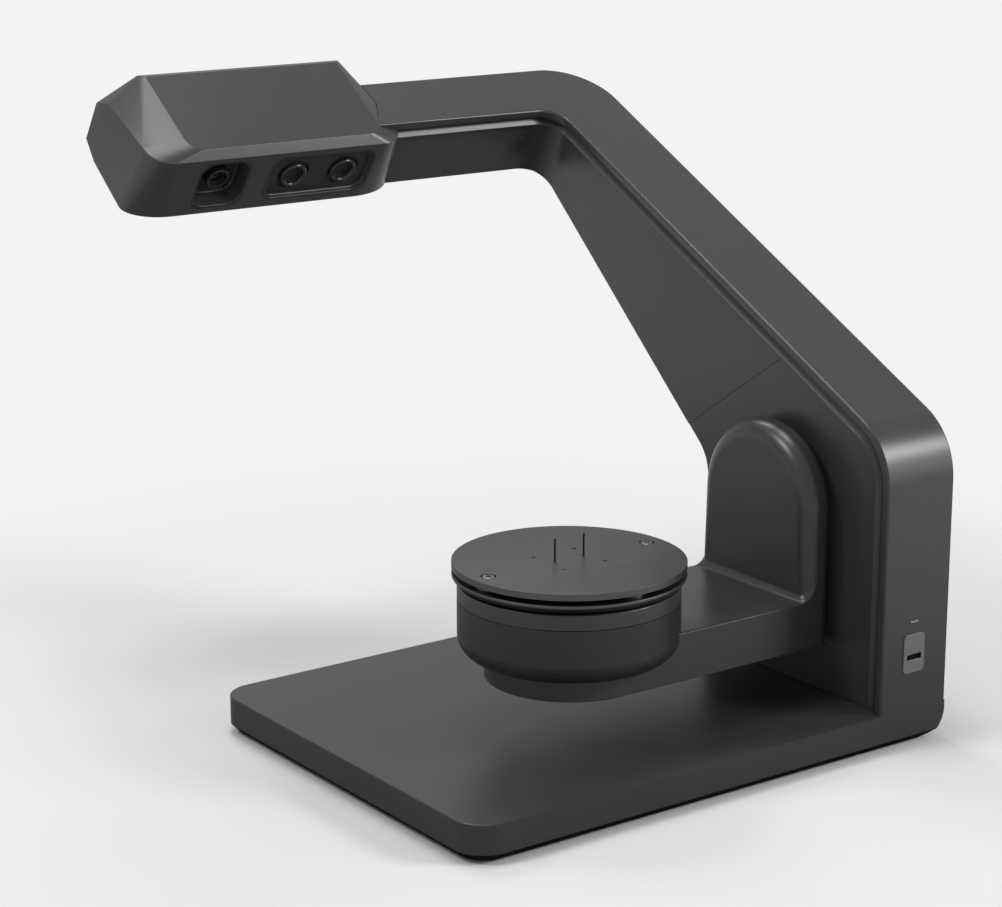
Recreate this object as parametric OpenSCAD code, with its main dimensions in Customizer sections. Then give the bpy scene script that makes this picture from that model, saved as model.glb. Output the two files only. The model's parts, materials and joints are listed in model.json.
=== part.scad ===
// Desktop scanner: a wide base, a leaning column with a side arm, a scan head over the
// base, and a tilting bracket that carries a motor-driven turntable.

/* [Base] */
// Width of the base, left to right
base_w = 300; // [290:1:330]
// Depth of the base, front to back
base_d = 233; // [215:1:260]
// Height of the base's top face above the table
base_h = 20.3; // [19:0.1:26]
// Radius of the two left corners seen from above
base_corner = 17; // [10:1:22]
// Radius of the two lower side edges seen from the front
keel_r = 15; // [10:1:17]
// Radius of the left lower edge
keel_left_r = 5; // [4:0.5:10]
// Wall of the base cover
base_wall = 2.5; // [2:0.1:3.5]
// Height of the bevelled pan under the cover
pan_h = 4; // [3.5:0.1:5]
// How far the bevel draws the pan in at the bottom
pan_bevel = 4; // [2:0.1:5]
// Height of a rubber foot
foot_h = 1.2; // [1:0.1:3]
// Radius of a rubber foot
foot_r = 9; // [6:0.5:12]
// Distance of the feet from the base's edges
foot_in = 27; // [20:1:40]
// Thickness of the steel ballast plate
ballast_t = 6; // [4:0.5:7]
// Distance of the ballast plate from the base's edges
ballast_in = 18; // [16:1:40]

/* [Column and arm] */
// Width of the column's front band
col_w = 46; // [44:0.5:54]
// Depth of the column at the base
col_d = 143; // [136:1:155]
// Angle of the leaning part above the horizontal
lean = 27; // [24:0.5:30]
// Height where the front plane and the leaning plane would meet
bend_z = 162; // [155:1:180]
// Radius of the bend in the front band
bend_r = 38; // [25:1:50]
// Height where the back turns outwards
knee_z = 126.5; // [120:0.5:140]
// Radius of the bend in the back
knee_r = 25; // [10:1:40]
// Distance along the lean to the arm's lower edge
arm_s0 = 309.8; // [295:0.1:330]
// Width of the arm along the lean
arm_w = 39.4; // [36:0.1:44]
// Depth of the arm, square to its band
arm_d = 42; // [40:0.5:48]
// Radius of the outer corner where the arm turns left
arm_outer_r = 34; // [20:1:38]
// Radius of the inner corner where the arm turns left
arm_inner_r = 13; // [8:0.5:20]
// Distance along the lean to the seam between column and arm
seam_s = 84; // [80:1:92]
// Angle of the seam below the horizontal
seam_angle = 34.3; // [30:0.5:40]
// Thickness of the front band
band_t = 4; // [3:0.1:5]
// How far the inner wall lies back from the band's edge
recess = 3.5; // [2.5:0.1:5]
// Wall of the column and arm shells
shell_wall = 2.5; // [2:0.1:3]

/* [Head] */
// Length of the head at its underside
head_l = 165; // [158:1:175]
// Place of the head's left end from the base's left edge
head_x = -12; // [-20:1:-6]
// Distance of the lens face from the base's front, at the optical axis
head_y = 280; // [276:1:290]
// Height of the optical axis at the lens face
head_z = 280; // [276:1:284]
// Tilt of the logo face above the horizontal
head_tilt = 35.5; // [33:0.5:38]
// Depth of the head behind the lens face
head_d = 62; // [60:1:68]
// Height of the top face above the optical axis
head_up = 20.6; // [20:0.1:23]
// Depth of the underside below the optical axis
head_low = 21.6; // [21:0.1:24]
// Radius of the front corners at the rim
head_corner = 14; // [12:1:18]
// Length along the head of the front corners at the underside
low_corner_l = 26; // [20:1:30]
// Depth of the front corners at the underside
low_corner_d = 11; // [9:1:14]
// How far the head's ends lean in towards the top
head_draft = 5; // [2:0.5:7]
// Width of the bevel between the lens face and the top face
head_bevel = 4.4; // [3:0.1:6]
// Distance of the top face's left edge from the left end
top_in_left = 27.3; // [22:0.5:32]
// Distance of the top face's right edge from the right end
top_in_right = 19.4; // [16:0.5:26]
// Wall of the head shells
head_wall = 2.2; // [1.8:0.1:2.6]

/* [Optics] */
// Place of the projector along the head, as a share of its length
proj_share = 0.303; // [0.28:0.001:0.32]
// Width of the projector's pocket
pocket_w = 31.4; // [30:0.2:33]
// Height of the projector's pocket
pocket_h = 32; // [30:0.2:33]
// Depth of the projector's pocket
pocket_d = 9; // [6:0.5:12]
// Radius of the projector's lens barrel
proj_r = 7; // [6:0.2:8]
// Distance between the two cameras, as a share of the head's length
cam_pitch_share = 0.1885; // [0.175:0.0005:0.2]
// Radius of a camera's lens barrel
cam_r = 8; // [7:0.2:9]
// Width of the recess round both cameras, as a share of the head's length
recess_share = 0.4; // [0.39:0.005:0.41]
// Height of the recess round both cameras
recess_h = 30; // [28:0.5:32]
// Depth of the recess round the cameras
recess_d = 2.5; // [2:0.1:4]
// Offset of the lenses below the optical axis
optics_drop = 2; // [1:0.1:3]

/* [Swing bracket] */
// Distance of the tilt axis from the base's front
tilt_y = 82.5; // [80:0.5:86]
// Height of the tilt axis above the table
tilt_z = 119.4; // [118:0.2:124]
// Half width of the bracket, and radius of its round ends
arch_r = 42.6; // [40:0.2:44]
// Thickness of the upright hub
hub_t = 16.5; // [15:0.5:20]
// Gap between the hub and the column's band edge
hub_gap = 0.5; // [0.4:0.1:1.5]
// Height of the leg's underside above the table
leg_z = 48.6; // [47:0.2:52]
// Height of the leg
leg_h = 25.5; // [25.2:0.1:27]
// Wall of the bracket casting
bracket_wall = 3; // [2.5:0.1:3.5]
// Radius of the hollow corner between leg and hub
fillet_r = 4; // [3:0.5:12]
// Radius of the tilt shaft
shaft_r = 5; // [4:0.1:5.5]

/* [Turntable] */
// Place of the turntable's axis from the base's left edge
table_x = 116.4; // [112:0.2:122]
// Radius of the turntable's top plate
plate_r = 58.8; // [57:0.2:62]
// Thickness of the top plate
plate_t = 3.3; // [2.8:0.1:4]
// Gap under the top plate
gap_h = 2.7; // [2:0.1:4]
// Thickness of the carrier flange
carrier_t = 3.9; // [3:0.1:5]
// Radius of the cup and its cover ring
cup_r = 56.1; // [55:0.1:57]
// Height of the cover ring
ring_h = 8.1; // [6:0.1:10]
// Height of the cup's straight wall
cup_h = 18.4; // [16:0.2:20]
// Height of the cup's rounded bottom
cup_round = 11; // [9:0.5:12]
// Gap between the cover ring and the carrier
spin_gap = 1.5; // [1:0.1:2]
// Radius of the spindle
spindle_r = 4; // [3.5:0.1:4.5]
// Radius of the circle of four small holes in the plate
hole_ring_r = 18; // [16:0.5:24]
// Radius of a small hole in the plate
hole_r = 1; // [0.8:0.05:1.4]
// Distance of a plate screw from the axis
screw_ring_r = 49.5; // [46:0.5:51]
// Distance of a sample pin from the axis
pin_ring_r = 9; // [6:0.5:12]
// Radius of a sample pin
pin_r = 0.5; // [0.4:0.05:0.8]
// Height of a sample pin above the plate
pin_h = 12; // [8:0.5:16]

/* [Drives] */
// Teeth of each large gear
gear_teeth = 60; // [56:4:64]
// Teeth of each pinion
pinion_teeth = 15; // [14:1:16]
// Module of the tilt gears
tilt_module = 1.2; // [1.15:0.05:1.25]
// Module of the spin gears
spin_module = 0.9; // [0.88:0.01:0.92]
// Side of a drive motor
motor_w = 35; // [34:0.5:36]
// Length of a drive motor
motor_h = 19.5; // [18:0.1:19.5]
// Thickness of a gear
gear_t = 6; // [5:0.2:6.4]

/* [Key and ports] */
// Width of the power key
key_w = 14.7; // [12:0.1:18]
// Height of the power key
key_h = 21; // [18:0.1:24]
// Height of the key's lower edge above the table
key_z = 40; // [36:0.5:44]
// Distance of the key's left edge from the band's left edge
key_in = 14.5; // [13:0.5:17]
// How far the key stands out of the band
key_proud = 0.6; // [0.3:0.1:1]
// Travel of the key
key_travel = 1.2; // [0.8:0.1:1.5]
// Radius of the key's corners
key_corner = 2.6; // [1.5:0.1:4]
// Width of the status light
light_w = 7.1; // [5:0.1:9]
// Height of the status light
light_h = 1.3; // [1:0.1:2]
// Height of the status light above the key
light_up = 5.8; // [4:0.1:9]
// Width of the panel for the sockets
port_w = 26; // [24:0.5:28]
// Height of the panel for the sockets
port_h = 24; // [22:0.5:28]
// Height of the panel's lower edge above the table
port_z = 32; // [30:0.5:40]

/* [Hidden] */
$fn = 96;

// Overrun of every cut past the face it leaves
over = 1;
// Half size of a block that is cut away beyond the object
far = 900;
// Free space round a piece that slides or drops into a hole
fit = 0.15;
// Running clearance of a shaft in its bearing
run = 0.04;

// Derived places of the base
pan_z = foot_h + pan_h;
ballast_z = pan_z;
col_x = base_w - col_w;
panel_x = col_x + recess;
shell_x = panel_x + shell_wall;
// Where the head's underside starts to rise towards the back, and where the back's lower edge is
heel_in = 18;
heel_low = 1.6;
heel_back = 5;
heel_up = 6.4;
// Origin under the middle of the whole object
head_back_y = head_y + (head_d - heel_back) * cos(head_tilt) + (head_low - heel_up) * sin(head_tilt);
org_x = (head_x + base_w) / 2;
org_y = (head_back_y - key_proud) / 2;

module place() { translate([-org_x, -org_y, 0]) children(); }

// Points of an arc round c from angle a0 to a1
arc_steps = 14;
function arc(c, r, a0, a1) =
    [for (i = [0 : arc_steps]) let (a = a0 + (a1 - a0) * i / arc_steps)
        [c[0] + r * cos(a), c[1] + r * sin(a)]];
function reversed(p) = [for (i = [len(p) - 1 : -1 : 0]) p[i]];

// Side view of the column and arm, Y and Z; s runs up the lean and d goes in from its face
function lean_pt(s, d) =
    [s * cos(lean) + d * sin(lean), bend_z + s * sin(lean) - d * cos(lean)];
bend_c = [bend_r, bend_z - bend_r * tan((90 - lean) / 2)];
arm_s1 = arm_s0 + arm_w;
// The back's sloping stretch, from the knee to the arm's lower back edge
knee = [col_d, knee_z];
arm_back = lean_pt(arm_s0, arm_d);
back_angle = atan2(arm_back[1] - knee[1], arm_back[0] - knee[0]);
back_in = [-sin(back_angle), cos(back_angle)];
knee_c = [col_d + knee_r, knee_z - knee_r * tan((90 - back_angle) / 2)];
// Distance along the lean at which the sloping back lies at depth d
function back_s(d, i) =
    let (p = knee + i * back_in,
         s = p[0] * cos(lean) + (p[1] - bend_z) * sin(lean),
         e = p[0] * sin(lean) - (p[1] - bend_z) * cos(lean),
         turn = back_angle - lean)
    s + (e - d) / tan(turn);
// Front line from height z up to the arm's top, i behind the face
function front_path(z, i) =
    concat([[i, z]], arc(bend_c, bend_r - i, 180, 90 + lean), [lean_pt(arm_s1, i)]);
// Whole side outline drawn in by i, from height z
function side_pts(z, i) =
    concat([[i, z], [col_d - i, z]], arc(knee_c, knee_r + i, 180, 90 + back_angle),
        [lean_pt(back_s(arm_d - i, i), arm_d - i), lean_pt(arm_s1 - i, arm_d - i)],
        [lean_pt(arm_s1 - i, i)], reversed(arc(bend_c, bend_r - i, 180, 90 + lean)));
seam_pt = lean_pt(seam_s, 0);

// A side view drawn in Y and Z, made solid from x0 to x1
module along_x(x0, x1) {
    translate([x0, 0, 0]) rotate([90, 0, 90]) linear_extrude(x1 - x0) children();
}
// A plan of the leaning part drawn in X and s, made solid from depth d0 to d1
module on_lean(d0, d1) {
    translate([0, 0, bend_z]) rotate([lean, 0, 0])
        translate([0, 0, -d1]) linear_extrude(d1 - d0) children();
}
module band_side() {
    polygon(concat(front_path(base_h, 0), reversed(front_path(base_h, band_t))));
}
module above_seam() {
    translate(seam_pt) rotate(-seam_angle) translate([-far, 0]) square([2 * far, far]);
}
module body_side(i) {
    difference() {
        polygon(side_pts(base_h - (i > 0 ? over : 0), i));
        polygon(concat(front_path(base_h - far, -over), reversed(front_path(base_h - far, band_t))));
    }
}
// Plan of the arm's side of its inner wall, i behind the wall's face
module inside_plan(i) {
    x = panel_x + i;
    s = arm_s0 + recess + i;
    r = arm_inner_r + recess + i;
    difference() {
        union() {
            translate([x, -far]) square([far, 2 * far]);
            translate([-far, s]) square([2 * far, far]);
            translate([x - r, s - r]) square([r + over, r + over]);
        }
        translate([x - r, s - r]) circle(r);
    }
}
// Plan inside the arm's outer corner, i behind the faces
module outside_plan(i) {
    r = arm_outer_r - i;
    translate([base_w - arm_outer_r, arm_s1 - arm_outer_r]) {
        circle(r);
        translate([-far, -far]) square([far, far + r]);
        translate([-far, -far]) square([far + r, far]);
    }
}

// Base
// Block with both lower long edges rounded, drawn in by i
module keel(i) {
    translate([0, base_d + over, 0]) rotate([90, 0, 0]) linear_extrude(base_d + 2 * over) {
        translate([keel_left_r, foot_h + keel_left_r]) circle(keel_left_r - i);
        translate([base_w - keel_r, foot_h + keel_r]) circle(keel_r - i);
        translate([keel_left_r, foot_h + i]) square([base_w - keel_left_r - keel_r, base_h + over]);
        translate([i, foot_h + keel_left_r]) square([base_w / 2, base_h]);
        translate([base_w / 2, foot_h + keel_r]) square([base_w / 2 - i, base_h]);
    }
}
module base_plan(i) {
    r = base_corner - i;
    for (y = [base_corner, base_d - base_corner]) translate([base_corner, y]) circle(r);
    translate([base_corner, i]) square([base_w - base_corner - i, base_d - 2 * i]);
    translate([i, base_corner]) square([base_w - 2 * i, base_d - 2 * base_corner]);
}
base_screw_r = 1.5;
base_screw_head_r = 2.8;
base_screw_head_h = 2;
base_screw_in = 11;
base_boss_r = 4;
base_screw_l = 8;
base_screw_x = keel_r + 2 * base_screw_head_r;
base_screw_at = [for (x = [base_screw_x, base_w / 2, base_w - base_screw_x],
    y = [base_screw_in, base_d - base_screw_in]) [x, y]];
module base_pan() {
    color("#2b2b2b") place() difference() {
        intersection() {
            hull() {
                translate([0, 0, foot_h]) linear_extrude(skin) base_plan(pan_bevel);
                translate([0, 0, pan_z - skin]) linear_extrude(skin) base_plan(0);
            }
            keel(0);
        }
        for (p = base_screw_at) translate([p[0], p[1], 0]) {
            cylinder(h = pan_z + over, r = base_screw_r + fit);
            cylinder(h = foot_h + base_screw_head_h + fit, r = base_screw_head_r + fit);
        }
    }
}
skin = 0.05;
frame_y0 = 18;
frame_back_gap = 15;
frame_y1 = col_d - frame_back_gap;
module base_cover() {
    color("#4b4b4b") place() {
        difference() {
            intersection() {
                translate([0, 0, pan_z]) linear_extrude(base_h - pan_z) base_plan(0);
                keel(0);
            }
            intersection() {
                translate([0, 0, pan_z - over]) linear_extrude(base_h - pan_z - base_wall + over)
                    base_plan(base_wall);
                keel(base_wall);
            }
            translate([frame_x - fit, frame_y0 - base_wall, base_h - base_wall - over])
                cube([frame_foot_w + frame_t, frame_y1 - frame_y0 + 2 * base_wall,
                    base_wall + 2 * over]);
        }
        for (p = base_screw_at) translate([p[0], p[1], pan_z]) difference() {
            cylinder(h = base_h - base_wall - pan_z, r = base_boss_r);
            translate([0, 0, -over])
                cylinder(h = base_screw_l - pan_h + base_screw_head_h + over, r = base_screw_r + run);
        }
    }
}
module ballast_plate() {
    color("#8a8d90") place() difference() {
        translate([0, 0, ballast_z]) linear_extrude(ballast_t) difference() {
            translate([ballast_in, ballast_in])
                square([base_w - ballast_in - keel_r, base_d - 2 * ballast_in]);
        }
        for (x = frame_bolt_x, y = frame_bolt_y) translate([x, y, ballast_z + ballast_t - bolt_l])
            cylinder(h = bolt_l + over, r = bolt_r + run);
    }
}
module rubber_feet() {
    color("#1d1d1d") place()
        for (x = [foot_in, base_w - foot_in], y = [foot_in, base_d - foot_in])
            translate([x, y, 0]) cylinder(h = foot_h, r = foot_r);
}
module base_screws() {
    color("#9a9a9a") place() for (p = base_screw_at) translate([p[0], p[1], foot_h]) {
        cylinder(h = base_screw_head_h, r = base_screw_head_r);
        cylinder(h = base_screw_head_h + base_screw_l - over, r = base_screw_r);
    }
}

// Inner frame of the column
frame_t = 3;
frame_x = shell_x + run;
frame_foot_w = 26;
frame_top_s = 150;
frame_top_d = 48;
frame_edge = 14;
frame_back_out = 2;
frame_back = frame_y1 + frame_back_out;
bolt_r = 2;
bolt_head_r = 3.6;
bolt_head_h = 2.4;
bolt_l = 5;
frame_bolt_x = [frame_x + frame_foot_w - 2 * bolt_head_r];
frame_bolt_y = [frame_y0 + 2 * bolt_head_r, frame_y1 - 2 * bolt_head_r];
module column_frame() {
    color("#a7abad") place() {
        difference() {
            along_x(frame_x, frame_x + frame_t) polygon([
                [frame_y0, ballast_z + ballast_t], [frame_y1, ballast_z + ballast_t],
                [frame_back, knee_z - frame_edge], lean_pt(frame_top_s, frame_top_d),
                lean_pt(frame_top_s, frame_edge), lean_pt(frame_edge, frame_edge),
                [frame_y0, bend_c[1]]]);
            translate([frame_x - over, tilt_y, tilt_z]) rotate([0, 90, 0])
                cylinder(h = frame_t + 2 * over, r = bearing_r + fit);
        }
        difference() {
            translate([frame_x, frame_y0, ballast_z + ballast_t])
                cube([frame_foot_w, frame_y1 - frame_y0, frame_t]);
            for (x = frame_bolt_x, y = frame_bolt_y)
                translate([x, y, ballast_z + ballast_t - over])
                    cylinder(h = frame_t + 2 * over, r = bolt_r + fit);
        }
        for (x = frame_bolt_x, y = frame_bolt_y) translate([x, y, ballast_z + ballast_t + frame_t]) {
            cylinder(h = bolt_head_h, r = bolt_head_r);
            translate([0, 0, -frame_t - bolt_l + over]) cylinder(h = frame_t + bolt_l, r = bolt_r);
        }
    }
}

// Column
module column_shell() {
    color("#454648") place() difference() {
        along_x(shell_x, base_w) difference() { body_side(0); above_seam(); }
        along_x(shell_x - over, base_w - shell_wall) body_side(shell_wall);
        translate([port_x, col_d - shell_wall - over, port_z])
            cube([port_w, shell_wall + 2 * over, port_h]);
    }
}
port_x = shell_x + (col_w - recess - 2 * shell_wall - port_w) / 2;
module column_inner_panel() {
    color("#303132") place() difference() {
        along_x(panel_x, shell_x) difference() { body_side(0); above_seam(); }
        translate([panel_x - over, tilt_y, tilt_z]) rotate([0, 90, 0])
            cylinder(h = shell_wall + 2 * over, r = bearing_r + fit);
    }
}
key_x = col_x + key_in;
light_x = key_x + (key_w - light_w) / 2;
light_z = key_z + key_h + light_up;
module column_front_cover() {
    color("#4d4d4d") place() difference() {
        along_x(col_x, base_w) difference() { band_side(); above_seam(); }
        translate([key_x - fit, -over, key_z - fit]) key_block(band_t + 2 * over, fit);
        translate([light_x - run, -over, light_z - run])
            cube([light_w + 2 * run, band_t + 2 * over, light_h + 2 * run]);
    }
}
// Block with the key's outline, grown by g, running back from its front face
module key_block(depth, g) {
    r = key_corner + g;
    w = key_w + 2 * g;
    h = key_h + 2 * g;
    translate([0, depth, 0]) rotate([90, 0, 0]) linear_extrude(depth) {
        for (x = [r, w - r], z = [r, h - r]) translate([x, z]) circle(r);
        translate([r, 0]) square([w - 2 * r, h]);
        translate([0, r]) square([w, h - 2 * r]);
    }
}

// Arm
arm_end = head_x + head_l - top_in_right;
arm_reach_d = 120;
module arm_shell() {
    color("#454648") place() difference() {
        intersection() {
            along_x(arm_end, base_w) intersection() { body_side(0); above_seam(); }
            on_lean(band_t, arm_reach_d) intersection() { inside_plan(shell_wall); outside_plan(0); }
        }
        intersection() {
            along_x(arm_end - over, base_w - shell_wall) body_side(shell_wall);
            on_lean(band_t - over, arm_reach_d) outside_plan(shell_wall);
        }
        in_head() head_solid(-run);
    }
}
module arm_inner_panel() {
    color("#3a3b3c") place() difference() {
        intersection() {
            along_x(arm_end, base_w - shell_wall) intersection() { body_side(0); above_seam(); }
            on_lean(band_t, arm_reach_d) difference() { inside_plan(0); inside_plan(shell_wall); }
        }
        in_head() head_solid(-run);
    }
}
module band_plan() {
    intersection() {
        outside_plan(0);
        difference() {
            union() {
                translate([col_x, -far]) square([far, 2 * far]);
                translate([arm_end, arm_s0]) square([far, far]);
                translate([col_x - arm_inner_r, arm_s0 - arm_inner_r])
                    square([arm_inner_r + over, arm_inner_r + over]);
            }
            translate([col_x - arm_inner_r, arm_s0 - arm_inner_r]) circle(arm_inner_r);
        }
    }
}
module arm_front_cover() {
    color("#4d4d4d") place() difference() {
        intersection() {
            on_lean(0, band_t) band_plan();
            along_x(arm_end, base_w) above_seam();
        }
        in_head() head_solid(-run);
    }
}
beam_w = 20;
beam_wall = 2;
beam_d = 14;
beam_s0 = 46;
beam_mid_s = arm_s0 + recess + shell_wall + (arm_w - recess - 2 * shell_wall) / 2;
beam_x = frame_x + frame_t;
bracket_flange_x = arm_end;
module arm_beam() {
    color("#b4b7b9") place() difference() {
        on_lean(beam_d, beam_d + beam_w) {
            translate([beam_x, beam_s0]) square([beam_w, beam_mid_s + beam_w / 2 - beam_s0]);
            translate([bracket_flange_x, beam_mid_s - beam_w / 2])
                square([beam_x + over - bracket_flange_x, beam_w]);
        }
        on_lean(beam_d + beam_wall, beam_d + beam_w - beam_wall) {
            translate([beam_x + beam_wall, beam_s0 - over])
                square([beam_w - 2 * beam_wall, beam_mid_s - beam_s0]);
            translate([bracket_flange_x - over, beam_mid_s - beam_w / 2 + beam_wall])
                square([beam_x + over - bracket_flange_x, beam_w - 2 * beam_wall]);
        }
    }
}

// Head, in its own frame: x from the base's left edge, y back from the lens face, z up
module in_head() {
    translate([0, head_y, head_z]) rotate([head_tilt, 0, 0]) children();
}
head_x1 = head_x + head_l;
rim_back_share = 0.88;
rim_low_share = 0.51;
ridge_share = 0.1;
top_corner_r = 9;
back_bevel = 3;
// Quarter of an oval round c, with half axes a along the head and b across it
function oval(c, a, b, a0) =
    [for (p = arc([0, 0], 1, a0, a0 + 90)) [c[0] + a * p[0], c[1] + b * p[1]]];
function head_pts(i) = let (
    xl = head_x + i, xr = head_x1 - i, lo = -head_low + i, up = head_up - i, b0 = i,
    b1 = head_d + abs(i), r = head_corner - i, dr = head_draft, face = head_up - head_bevel - i,
    la = low_corner_l - i, lb = low_corner_d - i,
    tl = head_x + top_in_left + i / 2, tr = head_x1 - top_in_right - i / 2,
    tb = head_bevel + i / 2, rt = top_corner_r)
    concat(
        [for (p = oval([xl + la, b0 + lb], la, lb, 180)) [p[0], p[1], lo]],
        [for (p = oval([xr - la, b0 + lb], la, lb, 270)) [p[0], p[1], lo]],
        [for (x = [xl, xr]) [x, head_d - heel_in, lo + heel_low]],
        [for (x = [xl, xr]) [x, head_d - heel_back - i, lo + heel_up]],
        [for (p = arc([xl + dr + r, b0 + r], r, 180, 270)) [p[0], p[1], face]],
        [for (p = arc([xr - dr - r, b0 + r], r, 270, 360)) [p[0], p[1], face]],
        [for (x = [xl + dr, xr - dr]) [x, b1 * rim_back_share, head_up * rim_low_share - i]],
        [for (x = [xl + dr, xr - dr]) [x, head_d + back_bevel - i, head_up * ridge_share + i / 2]],
        [for (p = arc([tl + rt, tb + rt], rt, 180, 270)) [p[0], p[1], up]],
        [for (p = arc([tr - rt, tb + rt], rt, 270, 360)) [p[0], p[1], up]],
        [[tl, b1, up], [tr, b1, up]],
        [for (x = [tl - back_bevel, tr + back_bevel]) [x, b1 + back_bevel, up - back_bevel / 2]]);
module head_solid(i) {
    p = head_pts(i);
    hull() polyhedron(points = p, faces = [[for (k = [0 : len(p) - 1]) k]]);
}
lens_z = -optics_drop;
proj_x = head_x + proj_share * head_l;
cam_pitch = cam_pitch_share * head_l;
recess_w = recess_share * head_l;
// Gap between the two cameras' modules, and between a module and the bracket's end
cam_gap = 5.1;
cam_end_gap = 3.65;
cam_module_w = cam_pitch - cam_gap;
spine_t = 3;
cams_x = bracket_flange_x - spine_t - cam_end_gap - (cam_module_w + cam_pitch) / 2;
cam_xs = [cams_x - cam_pitch / 2, cams_x + cam_pitch / 2];
opening_r = 7;
// Rounded rectangle through the lens face, centred on x, from depth y0 to y1
module face_block(x, w, h, r, y0, y1) {
    translate([x - w / 2, y1, lens_z - h / 2]) rotate([90, 0, 0]) linear_extrude(y1 - y0) {
        for (u = [r, w - r], v = [r, h - r]) translate([u, v]) circle(r);
        translate([r, 0]) square([w - 2 * r, h]);
        translate([0, r]) square([w, h - 2 * r]);
    }
}
module face_disc(x, r, y0, y1) {
    translate([x, y1, lens_z]) rotate([90, 0, 0]) cylinder(h = y1 - y0, r = r);
}
module back_half(y) {
    translate([-far, y, -far]) cube([2 * far, far, 2 * far]);
}
// Free space round the beam where it enters the head
beam_play = 1.5;
beam_hole = beam_w + 2 * beam_play;
module head_front_shell() {
    color("#484848") place() difference() {
        in_head() difference() {
            head_solid(0);
            head_solid(head_wall);
            back_half(head_d);
            face_block(proj_x, pocket_w, pocket_h, opening_r, -over, head_wall + 2 * over);
            face_block(cams_x, recess_w, recess_h, opening_r, -over, head_wall + 2 * over);
        }
        beam_way();
    }
}
// Way for the beam through the head's right end
module beam_way() {
    on_lean(beam_d - beam_play, beam_d + beam_w + beam_play)
        translate([bracket_flange_x, beam_mid_s - beam_hole / 2])
            square([beam_x - bracket_flange_x, beam_hole]);
}
head_screw_r = 1.2;
head_screw_head_r = 2.2;
head_screw_l = 8;
head_screw_head_h = 1.4;
head_screw_in = 27;
module head_back_cover() {
    color("#454545") place() in_head() difference() {
        intersection() {
            head_solid(0);
            back_half(head_d);
        }
        for (x = head_screw_x) translate([x, head_d - over, head_screw_z]) rotate([-90, 0, 0]) {
            cylinder(h = back_bevel + 2 * over, r = head_screw_r + run);
            translate([0, 0, head_seat - head_d + over])
                cylinder(h = back_bevel + over, r = head_screw_head_r + fit);
        }
    }
}
// Aluminium carrier of the optics inside the head
stand_r = 3;
// Seat of the screw heads, sunk under the back cover's face
head_seat = head_d + back_bevel / 2;
spine_y = 38;
spine_x0 = head_x + head_draft + 2 * head_wall;
spine_low = -head_low + 3 * head_wall;
spine_high = head_up - 5 * head_wall;
head_screw_x = [spine_x0 + 2 * stand_r, bracket_flange_x - 2 * stand_r];
head_screw_z = head_screw_in - head_low;
module head_bracket() {
    color("#b4b7b9") place() in_head() {
        translate([spine_x0, spine_y, spine_low])
            cube([bracket_flange_x - spine_x0, spine_t, spine_high - spine_low]);
        translate([bracket_flange_x - spine_t, head_bevel + pocket_d, spine_low])
            cube([spine_t, spine_y + spine_t - head_bevel - pocket_d, spine_high - spine_low]);
        for (x = head_screw_x) translate([x, spine_y + spine_t, head_screw_z])
            rotate([-90, 0, 0]) stand_off(head_d - spine_y - spine_t);
    }
}
module stand_off(l) {
    difference() {
        translate([0, 0, -over]) cylinder(h = l + over, r = stand_r);
        translate([0, 0, l - head_screw_l]) cylinder(h = head_screw_l + over, r = head_screw_r + run);
    }
}
bezel_t = 1.6;
barrel_wall = 1.6;
module projector_bezel() {
    color("#232425") place() in_head() difference() {
        face_block(proj_x, pocket_w - 2 * run, pocket_h - 2 * run, opening_r - run,
            0, pocket_d + bezel_t);
        face_block(proj_x, pocket_w - 2 * bezel_t, pocket_h - 2 * bezel_t, opening_r - bezel_t,
            -over, pocket_d);
        face_disc(proj_x, proj_r + run, 0, pocket_d + 2 * bezel_t);
    }
}
proj_front = 4;
proj_lens_in = 2;
module projector_barrel() {
    color("#1a1b1c") place() in_head() difference() {
        face_disc(proj_x, proj_r, proj_front, module_y);
        face_disc(proj_x, proj_r - barrel_wall, proj_front - over, module_y + over);
    }
}
lens_t = 2.5;
module projector_lens() {
    color("#1b2430") place() in_head()
        face_disc(proj_x, proj_r - barrel_wall - run, proj_front + proj_lens_in,
            proj_front + proj_lens_in + lens_t);
}
module_y = 16;
module_w = 28;
module_h = 26;
module projector_module() {
    color("#3a3d40") place() in_head()
        translate([proj_x - module_w / 2, module_y, lens_z - module_h / 2])
            cube([module_w, spine_y - module_y, module_h]);
}
module camera_bezel() {
    color("#242526") place() in_head() difference() {
        face_block(cams_x, recess_w - 2 * run, recess_h - 2 * run, opening_r - run,
            0, recess_d + bezel_t);
        face_block(cams_x, recess_w - 2 * bezel_t, recess_h - 2 * bezel_t, opening_r - bezel_t,
            -over, recess_d);
        for (x = cam_xs) face_disc(x, cam_r + run, 0, recess_d + 2 * bezel_t);
    }
}
cam_front = 0.4;
cam_mouth_r = 5.4;
cam_lens_in = 3;
module camera_barrels() {
    color("#1a1b1c") place() in_head() for (x = cam_xs) difference() {
        face_disc(x, cam_r, cam_front, module_y);
        face_disc(x, cam_mouth_r, cam_front - over, module_y + over);
    }
}
module camera_lenses() {
    color("#16202b") place() in_head() for (x = cam_xs)
        face_disc(x, cam_mouth_r - run, cam_front + cam_lens_in, cam_front + cam_lens_in + lens_t);
}
module camera_modules() {
    color("#35383a") place() in_head() for (x = cam_xs)
        translate([x - cam_module_w / 2, module_y, lens_z - module_h / 2])
            cube([cam_module_w, spine_y - module_y, module_h]);
}
board_t = 1.6;
head_board_h = 24;
head_board_gap = 4;
head_board_side = 14;
head_board_x = (head_screw_x[0] + head_screw_x[1]) / 2;
head_board_l = head_screw_x[1] - head_screw_x[0] - 2 * (stand_r + head_board_side);
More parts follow.
